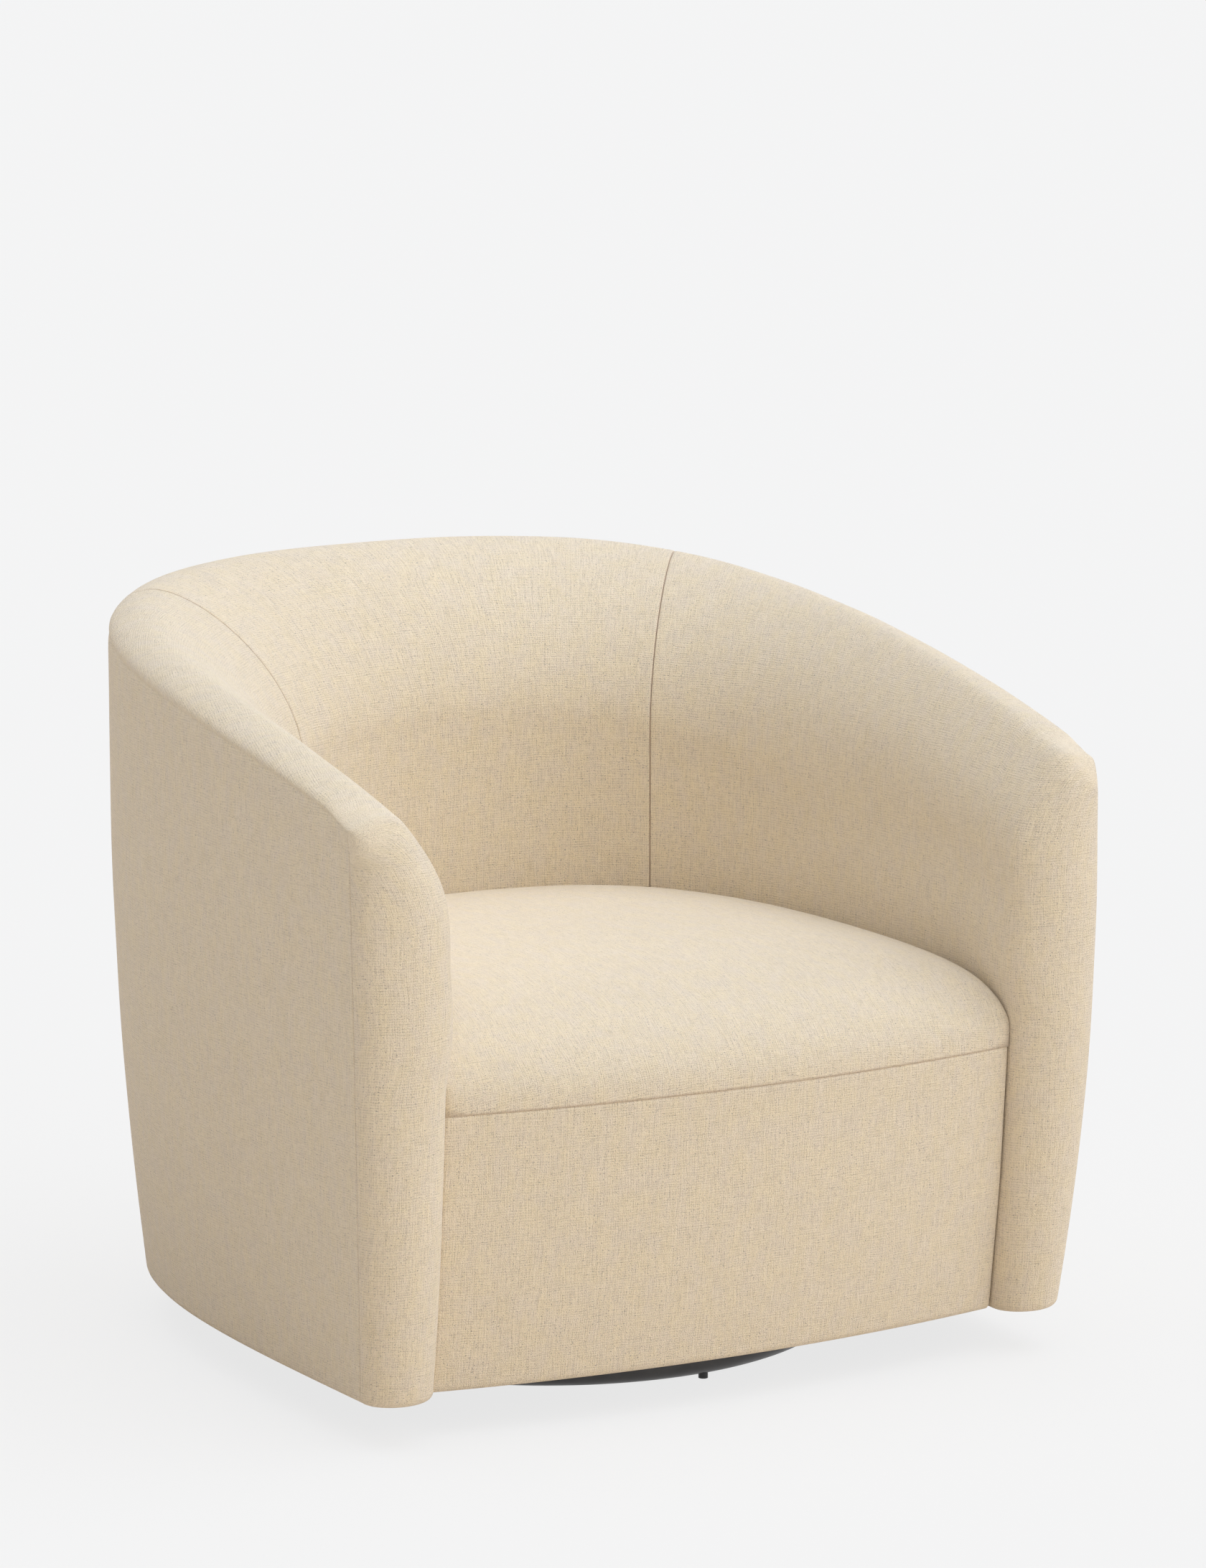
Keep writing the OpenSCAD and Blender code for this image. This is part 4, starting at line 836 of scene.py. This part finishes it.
def crownRings(atSeam, rimZ, shares):
    stride = np.linalg.norm(np.roll(atSeam, -1, 0) - atSeam, axis=-1)
    run = np.concatenate([[0], np.cumsum(stride)[:-1]])
    weight = (stride + np.roll(stride, 1)) / 2
    gap = abs(run[:, None] - run[None, :])
    gap = np.minimum(gap, stride.sum() - gap)
    rings = []
    for r in shares:
        z = rimZ + (seatPad["crown"] - seatPad["crownTop"] - rimZ) * math.sqrt(max(0, 1 - r ** seatPad["power"])) \
            + seatPad["crownTop"] * (1 - r * r)
        e = seatLoop(z, 0)
        ring = np.stack([e[:, 0] * r, seatPad["middleY"] + (e[:, 1] - seatPad["middleY"]) * r, z], -1)
        reach = seatPad["cornerEase"] * (1 - r) ** seatPad["easePower"]
        if reach > 0:                                      # the corners of a ring fade towards the crown
            share = np.exp(-0.5 * (gap / reach) ** 2) * weight
            ring = share @ ring / share.sum(1, keepdims=True)
        rings.append(ring)
    return rings


def sideRings(atSeam, rimZ):                               # down to the seam, then in and behind the panel
    nearFront = abs(atSeam[:, 1] - tub["frontY"] - lean(seatPad["seam"])) < seatPad["frontReach"]
    inFront = nearFront | (np.arange(len(atSeam)) >= len(seatT))
    rings = [seatLoop(np.where(inFront, rimZ + (seatPad["seam"] - rimZ) * drop, rimZ - seatPad["rearDrop"] * drop), 0)
             for drop in (0.5, 1.0)]
    for level, inset in seatPad["behind"]:
        e = seatLoop(np.full(len(atSeam), float(level)), seatPad["behindGap"])
        e[inFront, 1] += inset
        rings.append(e)
    return rings


def seatCloth(points):                                     # runs on down the front, the back and the sides
    x, y = points[..., 0], points[..., 1]
    drop = seatPad["crown"] - points[..., 2]
    fore, aft = ramp(y, *seatPad["foldFront"]), ramp(y, *seatPad["foldRear"])
    beside = ramp(abs(x), *seatPad["foldSide"]) * (1 - fore) * (1 - aft)
    return np.stack([x + np.sign(x) * drop * beside, y + drop * (aft - fore)], -1)


def seatGrid():
    atSeam = seatLoop(np.full(len(seatT) + len(seatFront), float(seatPad["seam"])), 0)
    rimZ = seatRim(atSeam)
    shares = np.sort(1 - stations(0, 1, seatPad["crownLength"], seatPad["step"], True, False))[1:]
    points = np.array(crownRings(atSeam, rimZ, shares) + sideRings(atSeam, rimZ))
    uv = seatCloth(points)
    calm = seatPad["calmRows"]
    fade = smoothStep((len(shares) - calm - np.arange(len(points))) / calm)
    points[..., 2] += ripple(points[..., 0], points[..., 1], seatPad["softness"]) * fade[:, None]
    # painted shade: a thin dark warm line along the seat's front seam
    marks = np.exp(-((points[..., 2] - seatPad["seam"]) / seatPad["shadeLineWide"]) ** 2) * seatPad["shadeLine"]
    return points, uv, np.stack([marks, 0 * marks], -1)


seatPoints, seatUv, seatMarks = seatGrid()
middle = [0, seatPad["middleY"]]
seatMiddle = [[*middle, seatPad["crown"] + ripple(*middle, seatPad["softness"])], [*middle, seatPad["low"]]]
seat = meshFromGrids("seat_upholstery", seatPoints, None, seatUv, seatMarks, True,
                     {"points": np.array(seatMiddle), "uv": np.array([middle, middle])})
dress(seat, fabric, "seat", "upholstery_fabric", "seat_cover", "seat_foam")
print("seat done")


# Black cloth under the frame: it sags a little between the boards, the rails and the swivel plate.
dustCloth = {"inset": 17, "frontY": -304, "low": 46, "high": 47, "hole": 22, "rings": 44, "turns": 176,
             "outline": 120, "twist": 0.003, "sag": 1.6, "slack": 0.4, "steady": 0.8, "boards": (49, 99),
             "plate": (100, 135), "railAt": 84, "rail": (25, 55)}


def dustOutline():
    t = np.linspace(0, 1, dustCloth["outline"])
    edge = place(t, dustCloth["inset"] + taper(t, dustCloth["high"]), dustCloth["high"])[:, :2]
    edge = edge[edge[:, 1] > dustCloth["frontY"]]
    half = np.concatenate([[[edge[0, 0], dustCloth["frontY"]]], edge])
    return np.concatenate([half, half[-2::-1] * [-1, 1]])


def reachTo(edge, turn):                                   # from the middle to the outline, one way
    closed = np.concatenate([edge, edge[:1]])
    way = np.array([math.cos(turn), math.sin(turn)])
    a, b = closed[:-1], closed[1:] - closed[:-1]
    cross = way[0] * b[:, 1] - way[1] * b[:, 0]
    cross = np.where(abs(cross) < 1e-9, 1e-9, cross)
    far = (a[:, 0] * b[:, 1] - a[:, 1] * b[:, 0]) / cross
    at = (a[:, 0] * way[1] - a[:, 1] * way[0]) / cross
    return min(f for f, k in zip(far, at) if f > 0 and -1e-6 <= k <= 1 + 1e-6)


def dustGrid():
    edge = dustOutline()
    turns = np.linspace(-math.pi, math.pi, dustCloth["turns"], endpoint=False) + dustCloth["twist"]
    turns = np.sort(np.concatenate([turns, np.arctan2(edge[[0, -1], 1], edge[[0, -1], 0])]))
    reach = np.array([reachTo(edge, turn) for turn in turns])
    r = dustCloth["hole"] + (reach - dustCloth["hole"]) * np.linspace(0, 1, dustCloth["rings"])[:, None]
    x, y = r * np.cos(turns), r * np.sin(turns)
    room = ramp(reach - r, *dustCloth["boards"]) * ramp(np.maximum(abs(x), abs(y)), *dustCloth["plate"]) \
        * ramp(abs(abs(x) - dustCloth["railAt"]), *dustCloth["rail"])
    sag = dustCloth["sag"] * room * (dustCloth["steady"] + ripple(x, y, dustCloth["slack"]))
    low, high = np.stack([x, y, dustCloth["low"] - sag], -1), np.stack([x, y, dustCloth["high"] - sag], -1)
    area = 0.5 * abs(np.sum(edge[:, 0] * np.roll(edge[:, 1], -1) - np.roll(edge[:, 0], -1) * edge[:, 1]))
    return np.concatenate([low, high[::-1], low[:1]]), edge, area - math.pi * dustCloth["hole"] ** 2


dustPoints, dustEdge, dustArea = dustGrid()
dust = meshFromGrids("dust_cloth_under_frame", dustPoints, None, dustPoints[..., :2],
                     np.zeros(dustPoints.shape[:2] + (2,)), True)
dress(dust, dustBlack, "seat", "dust_cloth", "dust_cover")
print("dust cloth done")


studio = {
    "backdrop": 0.905, "world": 0.21, "glow": 0.928, "steady": 0.84,      # steady: the floor's tone without shadow
    "paper": (0.75, 0.75, 0.75), "warmPaper": (0.85, 0.760, 0.655),       # as seen, and as it lights the chair
    "floorWide": 400, "tint": (0.985, 1.0, 1.03), "lampWide": 80,
    "lamps": [("overhead", 1.44, (0, 0, 1)), ("windowLight", 1.45, (0.7, -0.7, 0.9)),
              ("rearLight", 0.36, (0, 1, 0.8))]}


def seenDirectly(m):                                       # rays of the camera, and those that metal reflects
    return m.add("ShaderNodeMath", {"operation": "MAXIMUM"}, {
        0: m.add("ShaderNodeLightPath", {}, {}, 0), 1: m.add("ShaderNodeLightPath", {}, {}, 3)})


def floorAndLight():
    bpy.ops.object.select_all(action="DESELECT")
    bpy.ops.mesh.primitive_plane_add(size=studio["floorWide"], location=(0, 0, 0))
    floor = bpy.context.object
    floor.name = "studio_floor"
    m = Bench("studio_floor_paper")
    paper = m.add("ShaderNodeBsdfDiffuse", {}, {
        "Color": m.blend(seenDirectly(m), studio["warmPaper"], studio["paper"])})
    glow = m.add("ShaderNodeEmission", {}, {"Color": (1, 1, 1, 1), "Strength": studio["glow"]})
    both = m.add("ShaderNodeMixShader", {}, {0: seenDirectly(m) * studio["steady"], 1: paper, 2: glow})
    m.add("ShaderNodeOutputMaterial", {}, {0: both})
    floor.data.materials.append(m.material)

    sky = Bench("studio_world", world=True)
    bpy.context.scene.world = sky.material
    strength = seenDirectly(sky) * (studio["backdrop"] - studio["world"]) + studio["world"]
    light = sky.add("ShaderNodeBackground", {}, {"Color": (1, 1, 1, 1), "Strength": strength})
    sky.add("ShaderNodeOutputWorld", {}, {0: light})
    for name, strength, direction in studio["lamps"]:
        lamp = bpy.data.lights.new(name, "SUN")
        lamp.energy = strength
        lamp.color = studio["tint"]
        lamp.angle = math.radians(studio["lampWide"])
        holder = bpy.data.objects.new(name, lamp)
        holder.rotation_euler = Vector(direction).to_track_quat("Z", "Y").to_euler()
        bpy.context.scene.collection.objects.link(holder)
    print("floor and light done")


floorAndLight()


view = {"azimuth": -29.338, "elevation": 9.772, "focal": 7919.0, "far": 5.467, "aim": (0, 0, 0.370),
        "seenAt": (762.93, 1312.7), "size": (1680, 2185), "sensor": 36}


def camera():
    a, e = math.radians(view["azimuth"]), math.radians(view["elevation"])
    right = Vector((math.cos(a), math.sin(a), 0))
    back = Vector((math.sin(a) * math.cos(e), -math.cos(a) * math.cos(e), math.sin(e)))
    up = back.cross(right)
    x = (view["seenAt"][0] - view["size"][0] / 2) / view["focal"] * view["far"]
    y = -(view["seenAt"][1] - view["size"][1] / 2) / view["focal"] * view["far"]
    at = Vector(view["aim"]) - right * x - up * y + back * view["far"]
    eye = bpy.data.cameras.new("photo_view")
    eye.sensor_width = view["sensor"]
    eye.lens = view["focal"] * view["sensor"] / view["size"][1]
    eye.clip_end = 1000
    holder = bpy.data.objects.new("photo_view", eye)
    holder.matrix_world = Matrix.Translation(at) @ Matrix((right, up, back)).transposed().to_4x4()
    bpy.context.scene.collection.objects.link(holder)
    bpy.context.scene.camera = holder


camera()
bpy.context.scene.view_settings.view_transform = "Standard"
print("stage done")
